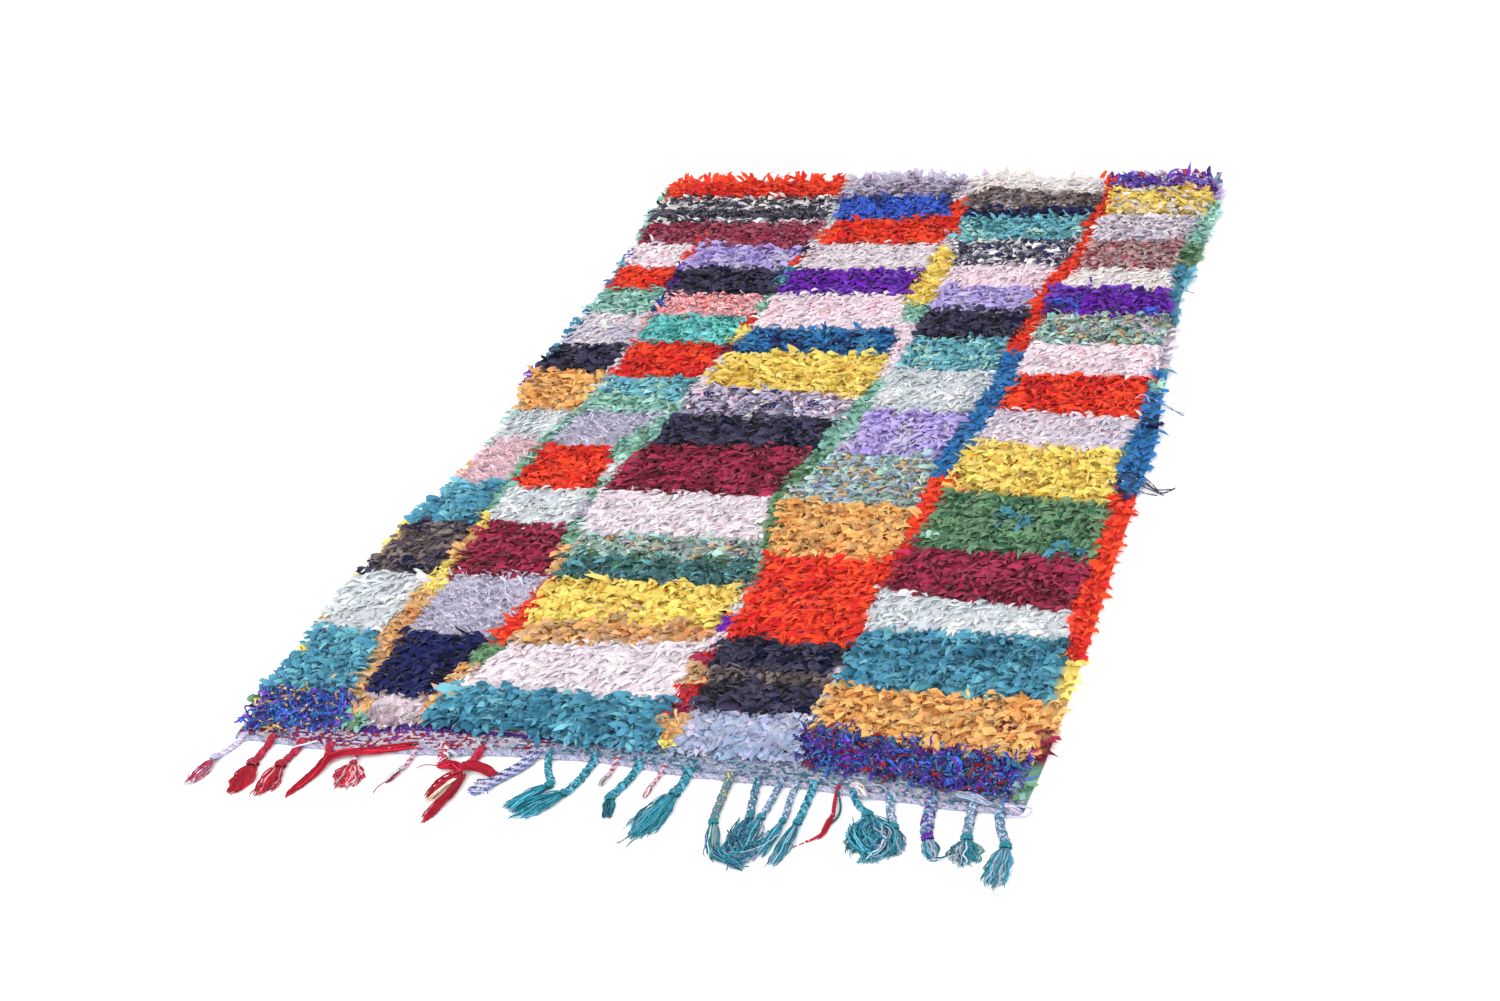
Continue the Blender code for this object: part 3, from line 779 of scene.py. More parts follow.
def grid_faces(shape, first, closed):
    """Quads of n grids of points, as indices. A closed grid is a tube: its last column meets its first."""
    count, rows, columns = shape
    index = first + np.arange(count * rows * columns).reshape(shape)
    if closed:
        index = np.concatenate((index, index[:, :, :1]), axis=2)
    return quad_corners(index).reshape(-1, 4)


def cell_map(shape, closed, first, cells):
    """Gives each grid a cell of its own in a square map, for each of its quads' corners."""
    count, rows, columns = shape
    wide = int(np.ceil(np.sqrt(cells)))
    cell = first + np.arange(count)
    span = columns if closed else columns - 1
    margin = (1 - CELL_FILL) / 2
    column_at = np.arange(span + 1) / span * CELL_FILL + margin
    row_at = np.arange(rows) / (rows - 1) * CELL_FILL + margin
    u = ((cell % wide)[:, None, None] + column_at[None, None, :]) / wide
    v = ((cell // wide)[:, None, None] + row_at[None, :, None]) / wide
    return quad_corners(np.stack(np.broadcast_arrays(u, v), axis=-1)).reshape(-1, 2)


def tube_strand(strand):
    """A tube's strand places with the seam's column added, so that its twist runs on."""
    around = strand[:, :, :1].copy()
    around[..., 0] = strand[:, :, -1:, 0] + (strand[:, :, -1:, 0] - strand[:, :, -2:-1, 0])
    return np.concatenate((strand, around), axis=2)


def strand_corners(grid):
    strand = tube_strand(grid.strand) if grid.closed else grid.strand
    return quad_corners(strand).reshape(-1, 2)


def make_piece(name, grids, material, slot):
    """One joined mesh from many small grids, with its colours, riding on the root body."""
    cells = sum(len(grid.points) for grid in grids)
    points, quads, tints, flecks, strands, map_places = [], [], [], [], [], []
    first_point = 0
    first_cell = 0
    for grid in grids:
        shape = grid.points.shape[:3]
        quads.append(grid_faces(shape, first_point, grid.closed))
        map_places.append(cell_map(shape, grid.closed, first_cell, cells))
        strands.append(strand_corners(grid))
        points.append(grid.points.reshape(-1, 3))
        for colour, alpha, store in ((grid.tint, grid.depth, tints), (grid.fleck, grid.share, flecks)):
            rgb = np.broadcast_to(colour, shape + (3,))
            last = np.broadcast_to(alpha, shape)[..., None]
            store.append(np.concatenate((rgb, last), axis=-1).reshape(-1, 4))
        first_point += np.prod(shape)
        first_cell += shape[0]
    joined = [np.concatenate(parts) for parts in (points, quads, tints, flecks, strands, map_places)]
    return mesh_piece(name, *joined, material, slot)


def mesh_piece(name, points, quads, tint, fleck, strand, map_places, material, slot):
    mesh = bpy.data.meshes.new(name)
    mesh.vertices.add(len(points))
    mesh.vertices.foreach_set("co", points.astype(np.float32).ravel())
    mesh.loops.add(quads.size)
    mesh.loops.foreach_set("vertex_index", quads.astype(np.int32).ravel())
    mesh.polygons.add(len(quads))
    mesh.polygons.foreach_set("loop_start", np.arange(0, quads.size, 4, dtype=np.int32))
    mesh.update(calc_edges=True)
    mesh.shade_smooth()
    mesh.set_sharp_from_angle(angle=np.radians(CREASE_ANGLE))
    for label, values in (("tint", tint), ("fleck", fleck)):
        layer = mesh.attributes.new(label, "FLOAT_COLOR", "POINT")
        layer.data.foreach_set("color", values.astype(np.float32).ravel())
    for label, values in ((BAKE_MAP, map_places), (STRAND_MAP, strand)):
        layer = mesh.uv_layers.new(name=label)
        layer.uv.foreach_set("vector", values.astype(np.float32).ravel())
    mesh.materials.append(material)
    piece = bpy.data.objects.new(name, mesh)
    bpy.context.scene.collection.objects.link(piece)
    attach(piece, "root")
    return piece


# Rag pile
def seam_sides(along):
    """Where each seam and column begins and ends across the rug, at these places along it."""
    sides = [left_edge(along), left_edge(along) + LEFT_SEAM_WIDTH]
    for name in Seam._fields[1:]:
        sides.append(np.interp(along, column(SEAMS, "along"), column(SEAMS, name)))
    sides.append(right_edge(along))
    return np.stack(sides, axis=-1)


def rags_at(across, along):
    """The index in RAGS of the rag at each place, and whether it is a seam's."""
    number_of = {name: number for number, name in enumerate(RAGS)}
    sides = seam_sides(along)
    found = np.full(across.shape, number_of[COLUMN_A[0].rag])
    in_seam = np.zeros(across.shape, dtype=bool)
    for index in range(sides.shape[-1] - 1):
        left, right = sides[..., index], sides[..., index + 1]
        here = (across >= left) & (across < right)
        if index == 0:
            here |= across < left
        if index == sides.shape[-1] - 2:
            here |= across >= right
        if index % 2:
            blocks = COLUMNS[index // 2]
            share = (across - left) / np.maximum(right - left, 1e-6)
            found[here] = number_of[blocks[0].rag]
            for block in blocks:
                near_right = block.near if block.near_right is None else block.near_right
                near = block.near + (near_right - block.near) * share
                found[here & (along >= near)] = number_of[block.rag]
        else:
            in_seam |= here
            for run in SEAM_RUNS[index // 2]:
                found[here & (along >= run.near)] = number_of[run.rag]
    return found, in_seam


def has_knot(across, along):
    """Whether a knot of the pile is at each place: a little way in from the cloth's edges."""
    inside = (across > left_edge(along) + RIM_INSET) & (across < right_edge(along) - RIGHT_INSET)
    return inside & (along > pile_edge(across) + NEAR_INSET) & (along < CLOTH_LENGTH - RIM_INSET)


def knot_places(kind, chance):
    """Knots in rows across the rug, each shifted a little, with the strips of one knot close together."""
    alongs = np.arange(0, CLOTH_LENGTH, kind.row)
    acrosses = np.arange(-PAST_EDGE, CLOTH_WIDTH + PAST_EDGE, kind.pitch)
    along, across = (grid.ravel() for grid in np.meshgrid(alongs, acrosses, indexing="ij"))
    count = len(along)
    across = across + chance.uniform(-0.5, 0.5, count) * kind.pitch
    along = along + ROW_SWAY * np.sin(across * ROW_WAVES) + chance.normal(0, ROW_SPREAD, count) * kind.row
    across = np.repeat(across, kind.per_knot)
    along = np.repeat(along, kind.per_knot)
    across = across + chance.uniform(-KNOT_ACROSS, KNOT_ACROSS, len(across)) * kind.pitch
    along = along + chance.uniform(-KNOT_ALONG, KNOT_ALONG, len(along)) * kind.row
    return across, along


def grow_strips(chance, roots, heading, droop, kind, size):
    """Strips of rag. Each starts narrow and steep at its knot, opens out and bends over to its heading."""
    count = len(roots)
    t = np.linspace(0, 1, kind.steps + 1)
    side_at = np.linspace(-1, 1, kind.sides + 1)
    length = (chance.uniform(kind.shortest, kind.longest, count) * size)[:, None]
    width = chance.uniform(kind.narrowest, kind.widest, count)[:, None]
    phase = chance.uniform(0, 2 * np.pi, (count, 3, 1))
    rise = np.radians(chance.normal(RISE, RISE_SPREAD, (count, 1)))
    lift = rise + (np.radians(droop)[:, None] - rise) * t ** BEND
    lift = lift + np.radians(kind.wave) * np.sin(2 * np.pi * kind.waves * t + phase[:, 0]) * t
    turn = heading[:, None] + np.radians(kind.curl) * chance.normal(0, 1, (count, 1)) * t
    turn = turn + np.radians(kind.wave) * np.sin(2 * np.pi * kind.waves * t + phase[:, 1]) * t
    run = np.stack((np.cos(lift) * np.cos(turn), np.cos(lift) * np.sin(turn), np.sin(lift)), axis=-1)
    stride = (run[:, 1:] + run[:, :-1]) / 2 * (length / kind.steps)[..., None]
    line = roots[:, None] + np.concatenate((np.zeros((count, 1, 3)), np.cumsum(stride, axis=1)), axis=1)
    level = np.stack((-np.sin(turn), np.cos(turn), np.zeros_like(turn)), axis=-1)
    above = np.cross(run, level)
    roll = np.radians(kind.roll) * (chance.normal(0, 1, (count, 1)) + chance.normal(0, 1, (count, 1)) * t)
    roll = roll[..., None]
    side = level * np.cos(roll) + above * np.sin(roll)
    face = above * np.cos(roll) - level * np.sin(roll)
    opened = smooth_step(np.clip(t / OPEN_BY, 0, 1))
    spread = width * (kind.root + (1 - kind.root) * opened) * (1 - kind.taper * t ** 4)
    spread = spread * (1 + EDGE_WAVE * np.sin(EDGE_WAVES * t + phase[:, 2]))
    cup = kind.cup * chance.normal(0, 1, (count, 1, 1)) * (side_at ** 2 - CUP_LEVEL)
    fold = kind.fold * np.sin(np.pi * FOLD_WAVES * side_at + phase[:, :1])
    points = line[:, :, None] + side[:, :, None] * (spread[:, :, None] / 2 * side_at)[..., None]
    points = points + face[:, :, None] * (spread[:, :, None] * (cup + fold))[..., None]
    slant = kind.slant * chance.normal(0, 1, (count, 1, 1)) * side_at
    slant = slant - ROUNDED_TIP * kind.slant * side_at ** 2
    points = points + run[:, :, None] * (width[:, :, None] * slant * t[:, None] ** 3)[..., None]
    loose = np.clip(t / CRUMPLED_BY, 0, 1)[:, None, None]
    points = points + chance.normal(0, kind.crumple, points.shape) * loose
    strand_across = spread[:, :, None] * (side_at + 1) / 2 + phase[:, :1] * STRAND_SHIFT
    strand_along = length[:, :, None] * t[:, None] + phase[:, 1:2] * STRAND_SHIFT
    strand = np.stack(np.broadcast_arrays(strand_across, strand_along), axis=-1)
    # depth runs from 0 at the root to 1 at the tip, and the materials paint shade towards the root with it
    depth = np.broadcast_to(t[:, None], (count, kind.steps + 1, kind.sides + 1))
    return points, strand, depth


def strip_colours(chance, rag, across, along):
    """Each strip's tint. Neighbours come from the same cloth, unless the rag is mixed."""
    tints = np.array([linear(name) for name in rag.tints])
    count = len(across)
    mix = MIXED if rag.mixed else SORTED
    pick = 0.5 + mix.by_patch * patches(across, along, mix.patch, mix.seed)
    pick = pick + chance.normal(0, mix.by_strip, count)
    if rag.mixed:
        pick = pick % 1
    chosen = tints[(np.clip(pick, 0, 0.999) * len(tints)).astype(int)]
    bright = np.exp(chance.normal(0, TINT_SPREAD, (count, 1)))
    return np.clip(chosen * bright * (1 + chance.normal(0, HUE_SPREAD, (count, 3))), 0, BRIGHTEST)


def lean_of(chance, kind, across, along):
    """Each strip's heading and droop: towards the near end, and outwards and down at the rim."""
    count = len(across)
    heading = np.radians(LEAN + chance.normal(0, kind.wander, count))
    heading = heading + np.radians(PATCH_TURN) * patches(across, along, PATCH / 2, SEED + 1)
    droop = chance.normal(kind.droop, kind.droop_spread, count)
    standing = chance.uniform(0, 1, count) < STANDING_SHARE
    droop = np.where(standing, chance.normal(STANDING_DROOP, STANDING_SPREAD, count), droop)
    rims = (
        (across - left_edge(along), 180, RIM_SPREAD, RIM_DROOP),
        (right_edge(along) - across, 0, RIM_SPREAD, RIM_DROOP),
        (CLOTH_LENGTH - along, 90, FAR_RIM_SPREAD, FAR_RIM_DROOP),
        (along - pile_edge(across), -90, RIM_SPREAD, RIM_DROOP),
    )
    for depth, outward, rim_spread, rim_droop in rims:
        near_rim = depth < RIM_DEPTH
        loose = chance.uniform(0, 1, count) < RIM_SHARE
        turned = np.radians(outward + chance.normal(0, rim_spread, count))
        heading = np.where(near_rim & loose, turned, heading)
        droop = np.where(near_rim & loose, chance.normal(rim_droop, RIM_DROOP_SPREAD, count), droop)
    at_left, at_right, at_far, at_near = (rim[0] < RIM_DEPTH for rim in rims)
    size = np.where(at_left | at_right, RIM_SIZE, 1.0)
    size = np.where(at_far, np.minimum(size, FAR_RIM_SIZE), size)
    size = np.where(at_near, np.minimum(size, NEAR_RIM_SIZE), size)
    size = np.where(at_left & (along < CORNER_ALONG), CORNER_SIZE, size)
    return heading, droop, size


def settle(points):
    """Keeps strips above the ground cloth and above the floor outside it, and presses tall ones down."""
    across = points[..., 0] + CLOTH_WIDTH / 2
    along = points[..., 1] + CLOTH_LENGTH / 2
    inside = (across > left_edge(along)) & (across < right_edge(along)) & (along < CLOTH_LENGTH)
    floor = np.where(inside, PILE_FLOOR, LOWEST) + np.where(inside, hump_rise(across, along), 0)
    sunk = floor - points[..., 2]
    points[..., 2] = np.where(sunk > 0, floor + RIPPLE * np.abs(np.sin(sunk * RIPPLE_PITCH)), points[..., 2])
    over = np.maximum(points[..., 2] - TALL, 0)
    points[..., 2] -= over * (1 - PRESSED)
    return points


def kind_strips(chance, kind):
    """All strips of one kind, for each piece of the pile. A strip's rag is the one where it is seen."""
    across, along = knot_places(kind, chance)
    here = has_knot(across, along)
    across, along = across[here], along[here]
    heading, droop, size = lean_of(chance, kind, across, along)
    shift = chance.normal(0, EDGE_RAGGED, (2, len(across)))
    seen_across = across + SEEN_REACH * size * np.cos(heading) + shift[0]
    seen_along = along + SEEN_REACH * size * np.sin(heading) + shift[1]
    found, in_seam = rags_at(seen_across, seen_along)
    for accent in ACCENTS:
        off = np.hypot(seen_across - accent.across, seen_along - accent.along)
        taken = (off < accent.radius) & (chance.uniform(0, 1, len(off)) < accent.share)
        found[taken] = list(RAGS).index(accent.rag)
    size = np.where(in_seam, np.minimum(size, SEAM_SIZE), size)
    part = np.searchsorted(PIECE_STARTS, across) * 2 + (along > PIECE_MIDDLE)
    grids = {}
    for index, rag in enumerate(RAGS.values()):
        for piece in np.unique(part):
            own = np.flatnonzero((found == index) & (part == piece))
            if rag.kind is not kind or not len(own):
                continue
            roots = place(across[own], along[own], ROOT_HEIGHT + hump_rise(across[own], along[own]))
            points, strand, depth = grow_strips(chance, roots, heading[own], droop[own], kind, size[own])
            tint = strip_colours(chance, rag, across[own], along[own])[:, None, None]
            grid = Grid(settle(points), tint, linear(rag.fleck), rag.share, depth, strand, False)
            grids.setdefault(piece, []).append(grid)
    return grids


def build_pile(materials):
    """The whole pile, in pieces of about a column and a half of its length each."""
    chance = np.random.default_rng(SEED)
    gathered = {}
    for kind in KINDS:
        for piece, grids in kind_strips(chance, kind).items():
            gathered.setdefault((piece, kind is YARN), []).extend(grids)
    pieces = []
    for (piece, is_yarn), grids in sorted(gathered.items()):
        material = materials["yarn"] if is_yarn else materials["rag"]
        label = "yarn_pile" if is_yarn else "rag_pile"
        pieces.append(make_piece(f"{label}_{piece + 1:02d}", grids, material, "rag_pile"))
    return pieces


# Body of the pile, between the strips
BODY_STEP = 0.0125
BODY_HEIGHT = 0.0125
THIN_LIFT = 0.0048
BODY_ROUGH = 0.0022
BODY_INSET = 0.016
BODY_RIGHT_INSET = 0.027
BODY_SHOULDER = 0.016
# The body's level of painted shade, on the scale from a strip's root (0) to its tip (1)
BODY_PAINTED_SHADE_LEVEL = 0.45
BODY_SHIFT = BODY_STEP / 7


def mean_tints():
    """Each rag's mean colour, in the order of RAGS."""
    return np.array([np.mean([linear(tint) for tint in rag.tints], axis=0) for rag in RAGS.values()])


def build_body(material):
    """The crowded lower ends of the strips, as one rumpled layer that the loose ends rise from."""
    chance = np.random.default_rng(SEED + 5)
    rows = int(CLOTH_LENGTH / BODY_STEP)
    columns = int(CLOTH_WIDTH / BODY_STEP)
    back = np.linspace(0, 1, rows + 1)[:, None]
    over = np.linspace(0, 1, columns + 1)[None, :]
    near = pile_edge(over * CLOTH_WIDTH) + BODY_INSET
    along = near + (CLOTH_LENGTH - BODY_INSET - near) * back
    left = left_edge(along) + BODY_INSET
    right = right_edge(along) - BODY_RIGHT_INSET
    across = left + (right - left) * over
    sides = np.minimum(across - left, right - across)
    ends = np.minimum(along - near, CLOTH_LENGTH - BODY_INSET - along)
    to_rim = np.minimum(sides, ends)
    shoulder = np.clip(to_rim / BODY_SHOULDER, 0, 1)
    shoulder = np.sqrt(shoulder * (2 - shoulder))
    rough = chance.normal(0, BODY_ROUGH, across.shape) * shoulder
    shift = chance.normal(0, BODY_SHIFT, (2,) + across.shape)
    across = across + shift[0] * shoulder
    along = along + shift[1] * shoulder
    found, in_seam = rags_at(across, along)
    is_thin = np.array([rag.kind is THIN for rag in RAGS.values()])
    full = BODY_HEIGHT - GROUND_THICKNESS + THIN_LIFT * (is_thin[found] & ~in_seam)
    height = GROUND_THICKNESS + full * shoulder + rough + hump_rise(across, along)
    tint = mean_tints()[found] * np.exp(chance.normal(0, TINT_SPREAD, across.shape + (1,)))
    points = place(across, along, height)
    # The body gets a level of painted shade, as if part way down the strips, for the shade in the gaps
    # between them
    grid = Grid(points[None], tint[None], linear("white"), 0.0, BODY_PAINTED_SHADE_LEVEL, points[None, ..., :2], False)
    return make_piece("pile_body", [grid], material, "rag_pile")


# Ground cloth
GROUND_COLUMNS = 76
GROUND_ROWS = 110
GROUND_INSET = 0.008
GROUND_LIFT = 0.0002
RIB_HEIGHT = 0.0007
BAND_BLEND = 40
# Painted shade on the underside of the ground cloth: the share of the top's colour it keeps
UNDERSIDE_PAINTED_SHADE = 0.7
GROUND_FLECKS = 0.45
GROUND_SPREAD = 0.12
MAP_MARGIN = 0.2


def build_ground(material):
    """The thin cloth under the pile: a closed sheet with knot backs in rows on its underside."""
    rows = np.linspace(0, 1, GROUND_ROWS + 1)[:, None]
    columns = np.linspace(0, 1, GROUND_COLUMNS + 1)[None, :]
    near = cloth_edge(columns * CLOTH_WIDTH)
    along = near + (CLOTH_LENGTH - GROUND_INSET - near) * rows
    at_band = np.exp(-rows * BAND_BLEND)
    left = (left_edge(along) + GROUND_INSET) * (1 - at_band) + BAND_LEFT * at_band
    right = (right_edge(along) - GROUND_INSET) * (1 - at_band) + BAND_RIGHT * at_band
    across = left + (right - left) * columns
    rise = hump_rise(across, along)
    rib = RIB_HEIGHT * ((np.arange(GROUND_ROWS + 1) % 2)[:, None] + (np.arange(GROUND_COLUMNS + 1) % 2))
    low = place(across, along, rise + GROUND_LIFT + rib).reshape(-1, 3)
    high = place(across, along, rise + GROUND_THICKNESS).reshape(-1, 3)
    points = np.concatenate((low, high))
    count = len(low)
    index = np.arange(count).reshape(GROUND_ROWS + 1, GROUND_COLUMNS + 1)
    sheet = quad_corners(index[None]).reshape(-1, 4)
    rim = np.concatenate((index[0], index[1:, -1], index[-1, -2::-1], index[-2::-1, 0]))
    walls = np.stack((rim[:-1], rim[1:], rim[1:] + count, rim[:-1] + count), axis=-1)
    quads = np.concatenate((sheet + count, sheet[:, ::-1], walls))
    found, _ = rags_at(across.ravel(), along.ravel())
    chance = np.random.default_rng(SEED + 2)
    block = mean_tints()[found] * np.exp(chance.normal(0, GROUND_SPREAD, (count, 1)))
    # The underside is a copy of the top's colour painted darker, as painted shade
    tint = np.concatenate((block, block * UNDERSIDE_PAINTED_SHADE))
    tint = np.concatenate((tint, np.ones((2 * count, 1))), axis=1)
    fleck = np.tile(np.append(linear("lavender"), GROUND_FLECKS), (2 * count, 1))
    fleck[count:, 3] = 0
    spot = points[quads][..., :2]
    span = np.array((CLOTH_WIDTH + MAP_MARGIN, CLOTH_LENGTH + MAP_MARGIN))
    flat = (spot + span / 2) / (2 * span.max())
    flat[len(sheet):, :, 0] += 0.5
    maps = (spot.reshape(-1, 2), flat.reshape(-1, 2))
    return mesh_piece("ground_cloth", points, quads, tint, fleck, *maps, material, "rag_pile")


# Woven band
BEAD = 0.0070
WEFT_ROW = 0.0054
WEFT_ROWS = 16
BEAD_STEPS = 3
ROW_STEPS = 3
BEAD_RISE = 0.0016
BEAD_SINK = 0.0006
BEAD_ROUGH = 0.0004
BEAD_ROUNDING = (3.2, 3.4)
# Painted shade between the weft beads, lighter on their tops, and a darker tone for the whole band: the least
# share and the range
BEAD_TONE_AND_PAINTED_SHADE = (0.38, 0.42)
BAND_UNDER_PILE = 0.012
BAND_FLECKS = 0.10
BAND_MAP = CLOTH_WIDTH + 0.1
BAND_MAP_MARGIN = 0.02
Zone = namedtuple("Zone", "end names")
BAND_ZONES = (
    Zone(0.10, "tweed grey_lavender maroon white_pink tweed dark_tweed crimson".split()),
    Zone(0.30, "crimson grey_lavender white_pink maroon crimson deep_purple lavender".split()),
    Zone(0.46, "white_pink crimson grey_lavender roving white_pink lavender roving purple".split()),
    Zone(0.62, "grey_lavender tweed crimson lavender tweed white_pink dark_tweed".split()),
    Zone(1.02, "tweed lavender grey_blue tweed yarn_teal grey_lavender dark_tweed".split()),
    Zone(1.60, "tweed yarn_grey lavender yarn_teal tweed dark_tweed grey_lavender".split()),
)
WEFT_RUN = 5
RUN_SHARE = 0.25
PLUM_WEFT = (0.225, 0.47, 0.61)
PLUM_WIDE = 0.0105
PLUM_NARROW = 0.0055
PLUM_FROM_PILE = 0.002


def scattered(first, second, factors):
    """Numbers from 0 to 1 without a pattern, each worked out from two whole numbers."""
    return np.abs(np.sin(first * factors[0] + second * factors[1]) * factors[2]) % 1


def build_band(material):
    """The bare flat-woven end: rows of weft beads, each row set off by half a bead."""
    chance = np.random.default_rng(SEED + 3)
    beads = int((BAND_RIGHT - BAND_LEFT) / BEAD)
    across = BAND_LEFT + np.arange(beads * BEAD_STEPS + 1) * BEAD / BEAD_STEPS
    depth = np.arange(WEFT_ROWS * ROW_STEPS + 1) * WEFT_ROW / ROW_STEPS
    u, d = np.meshgrid(across, depth)
    row = np.floor(d / WEFT_ROW + 1e-6).astype(int)
    shifted = (u - BAND_LEFT) / BEAD + 0.5 * (row % 2)
    bead = np.floor(shifted + 1e-6).astype(int)
    in_bead = shifted - bead - 0.5
    in_row = d / WEFT_ROW - row - 0.5
    round_bead = np.clip(1 - BEAD_ROUNDING[0] * in_bead ** 2, 0, 1)
    round_bead = round_bead * np.clip(1 - BEAD_ROUNDING[1] * in_row ** 2, 0, 1)
    sway = wavy(u, size=0.0012, pitch=31) + wavy(u, size=0.0009, pitch=77, shift=row)
    along = cloth_edge(u) + d + sway
    height = BAND_TOP - BEAD_SINK + BEAD_RISE * round_bead + BEAD_ROUGH * chance.normal(0, 1, u.shape)
    points = place(u, along, height).reshape(-1, 3)
    quads = quad_corners(np.arange(u.size).reshape(u.shape)[None]).reshape(-1, 4)
    reach = (pile_edge(u) - cloth_edge(u) + BAND_UNDER_PILE)[:-1, :-1].ravel()
    quads = quads[d[:-1, :-1].ravel() < reach]
    own = scattered(bead, row, (12.9898, 78.233, 43758.5453))
    shared = scattered(bead // WEFT_RUN, row, (39.346, 11.135, 24634.6345))
    picked = np.where(own < RUN_SHARE, shared, own)
    tint = np.zeros(u.shape + (3,))
    start = -1.0
    for zone in BAND_ZONES:
        colours = np.array([linear(name) for name in zone.names])
        here = (u >= start) & (u < zone.end)
        tint[here] = colours[(picked[here] * len(colours)).astype(int)]
        start = zone.end
    to_pile = pile_edge(u) - along
    first, middle, last = PLUM_WEFT
    plum_width = np.where(u < middle, PLUM_WIDE, PLUM_NARROW)
    tint[(np.abs(to_pile - PLUM_FROM_PILE) < plum_width) & (u > first) & (u < last)] = linear("deep_purple")
    # Painted shade: darker in the grooves between the beads and lighter on their tops, with the whole band
    # set to a darker tone
    shade = BEAD_TONE_AND_PAINTED_SHADE[0] + BEAD_TONE_AND_PAINTED_SHADE[1] * round_bead
    colour = np.concatenate((tint, shade[..., None]), axis=-1).reshape(-1, 4)
    fleck = np.broadcast_to(np.append(linear("lavender"), BAND_FLECKS), colour.shape)
    used, quads = np.unique(quads, return_inverse=True)
    quads = quads.reshape(-1, 4)
    spot = points[used][quads][..., :2]
    flat = spot * (1 / BAND_MAP) + 0.5
    flat[..., 1] = (spot[..., 1] + CLOTH_LENGTH / 2 + BAND_MAP_MARGIN) / BAND_MAP
    parts = (points[used], quads, colour[used], fleck[used])
    maps = (spot.reshape(-1, 2), flat.reshape(-1, 2))
    return mesh_piece("woven_band", *parts, *maps, material, "rag_pile")


# Yarns
CURVE_STEPS = 12
LEAST_STEPS = 8
STEM_SIDES = 6
THREAD_SIDES = 5
YARN_SIDES = 4
LOOSE_SIDES = 3
POINTED = 0.3
LOWEST_YARN = 0.0003


def smooth_path(points, count):
    """A smooth line through these points, at even steps."""
    points = np.asarray(points, dtype=float)
    padded = np.vstack((2 * points[0] - points[1], points, 2 * points[-1] - points[-2]))
    fine = []
    for index in range(len(points) - 1):
        before, start, end, after = padded[index:index + 4]
        t = np.linspace(0, 1, CURVE_STEPS, endpoint=False)[:, None]
        squared = (2 * before - 5 * start + 4 * end - after) * t ** 2
        cubed = (3 * start - before - 3 * end + after) * t ** 3
        fine.append(0.5 * (2 * start + (end - before) * t + squared + cubed))
    fine = np.vstack(fine + [points[-1:]])
    travelled = np.concatenate(([0], np.cumsum(np.linalg.norm(np.diff(fine, axis=0), axis=1))))
    at = np.linspace(0, travelled[-1], count)
    return np.stack([np.interp(at, travelled, fine[:, axis]) for axis in range(3)], axis=-1)


def path_frame(line):
    """Along, sideways and up directions at each point of a line."""
    along = np.gradient(line, axis=-2)
    along /= np.maximum(np.linalg.norm(along, axis=-1, keepdims=True), 1e-9)
    side = np.cross(np.array([0.0, 0.0, 1.0]), along)
    side /= np.maximum(np.linalg.norm(side, axis=-1, keepdims=True), 1e-6)
    return along, side, np.cross(along, side)


def steps_along(route, spacing):
    """A smooth line in steps of about this spacing, its sideways and up directions, and the way travelled."""
    length = np.linalg.norm(np.diff(route, axis=0), axis=1).sum()
    steps = max(LEAST_STEPS, int(length / spacing))
    line = smooth_path(route, steps)[None]
    _, side, above = path_frame(line)
    return line, side, above, np.linspace(0, length, steps)[None, :, None]


def pick_colours(chance, names, count):
    return np.array([linear(name) for name in names])[chance.integers(0, len(names), count)]


def tubes(lines, radius, sides, tint, fleck="white", share=0.0, depth=1.0):
    """Yarns as tubes that narrow at both ends: lines (n, k, 3), radius (n, k) or less, tint (n, 3)."""
    count, steps = lines.shape[:2]
    _, side, above = path_frame(lines)
    turn = np.arange(sides) * 2 * np.pi / sides
    radius = np.broadcast_to(radius, (count, steps)).copy()
    radius[:, [0, -1]] *= POINTED
    ring = side[:, :, None] * np.cos(turn)[:, None] + above[:, :, None] * np.sin(turn)[:, None]
    points = lines[:, :, None] + ring * radius[:, :, None, None]
    points[..., 2] = np.maximum(points[..., 2], LOWEST_YARN)
    step = np.linalg.norm(np.diff(lines, axis=1), axis=-1)
    travelled = np.concatenate((np.zeros((count, 1)), np.cumsum(step, axis=1)), axis=1)
    around = (turn * np.median(radius))[None, None]
    strand = np.stack(np.broadcast_arrays(around, travelled[:, :, None]), axis=-1)
    tint = np.asarray(tint, dtype=float).reshape(-1, 1, 1, 3)
    return Grid(points, tint, linear(fleck), share, depth, strand, True)


# End cord and tassels
CORD_WIDTH = 0.010
CORD_GAP = 0.0003
CORD_PLIES = 3
CORD_PLY_RADIUS = 0.0034
CORD_TWIST = 0.030
CORD_COLOURS = ("grey_lavender", "grey", "tweed")
CORD_DEPTH = 0.55
CORD_INSET = 0.004
CORD_HEIGHT = 0.0048
CORD_STEPS = 560
CORD_SWING = 0.0025
CORD_FLATNESS = (1.2, 0.62)
CORD_FLECKS = 0.22
CORD_THICKNESS = 0.92

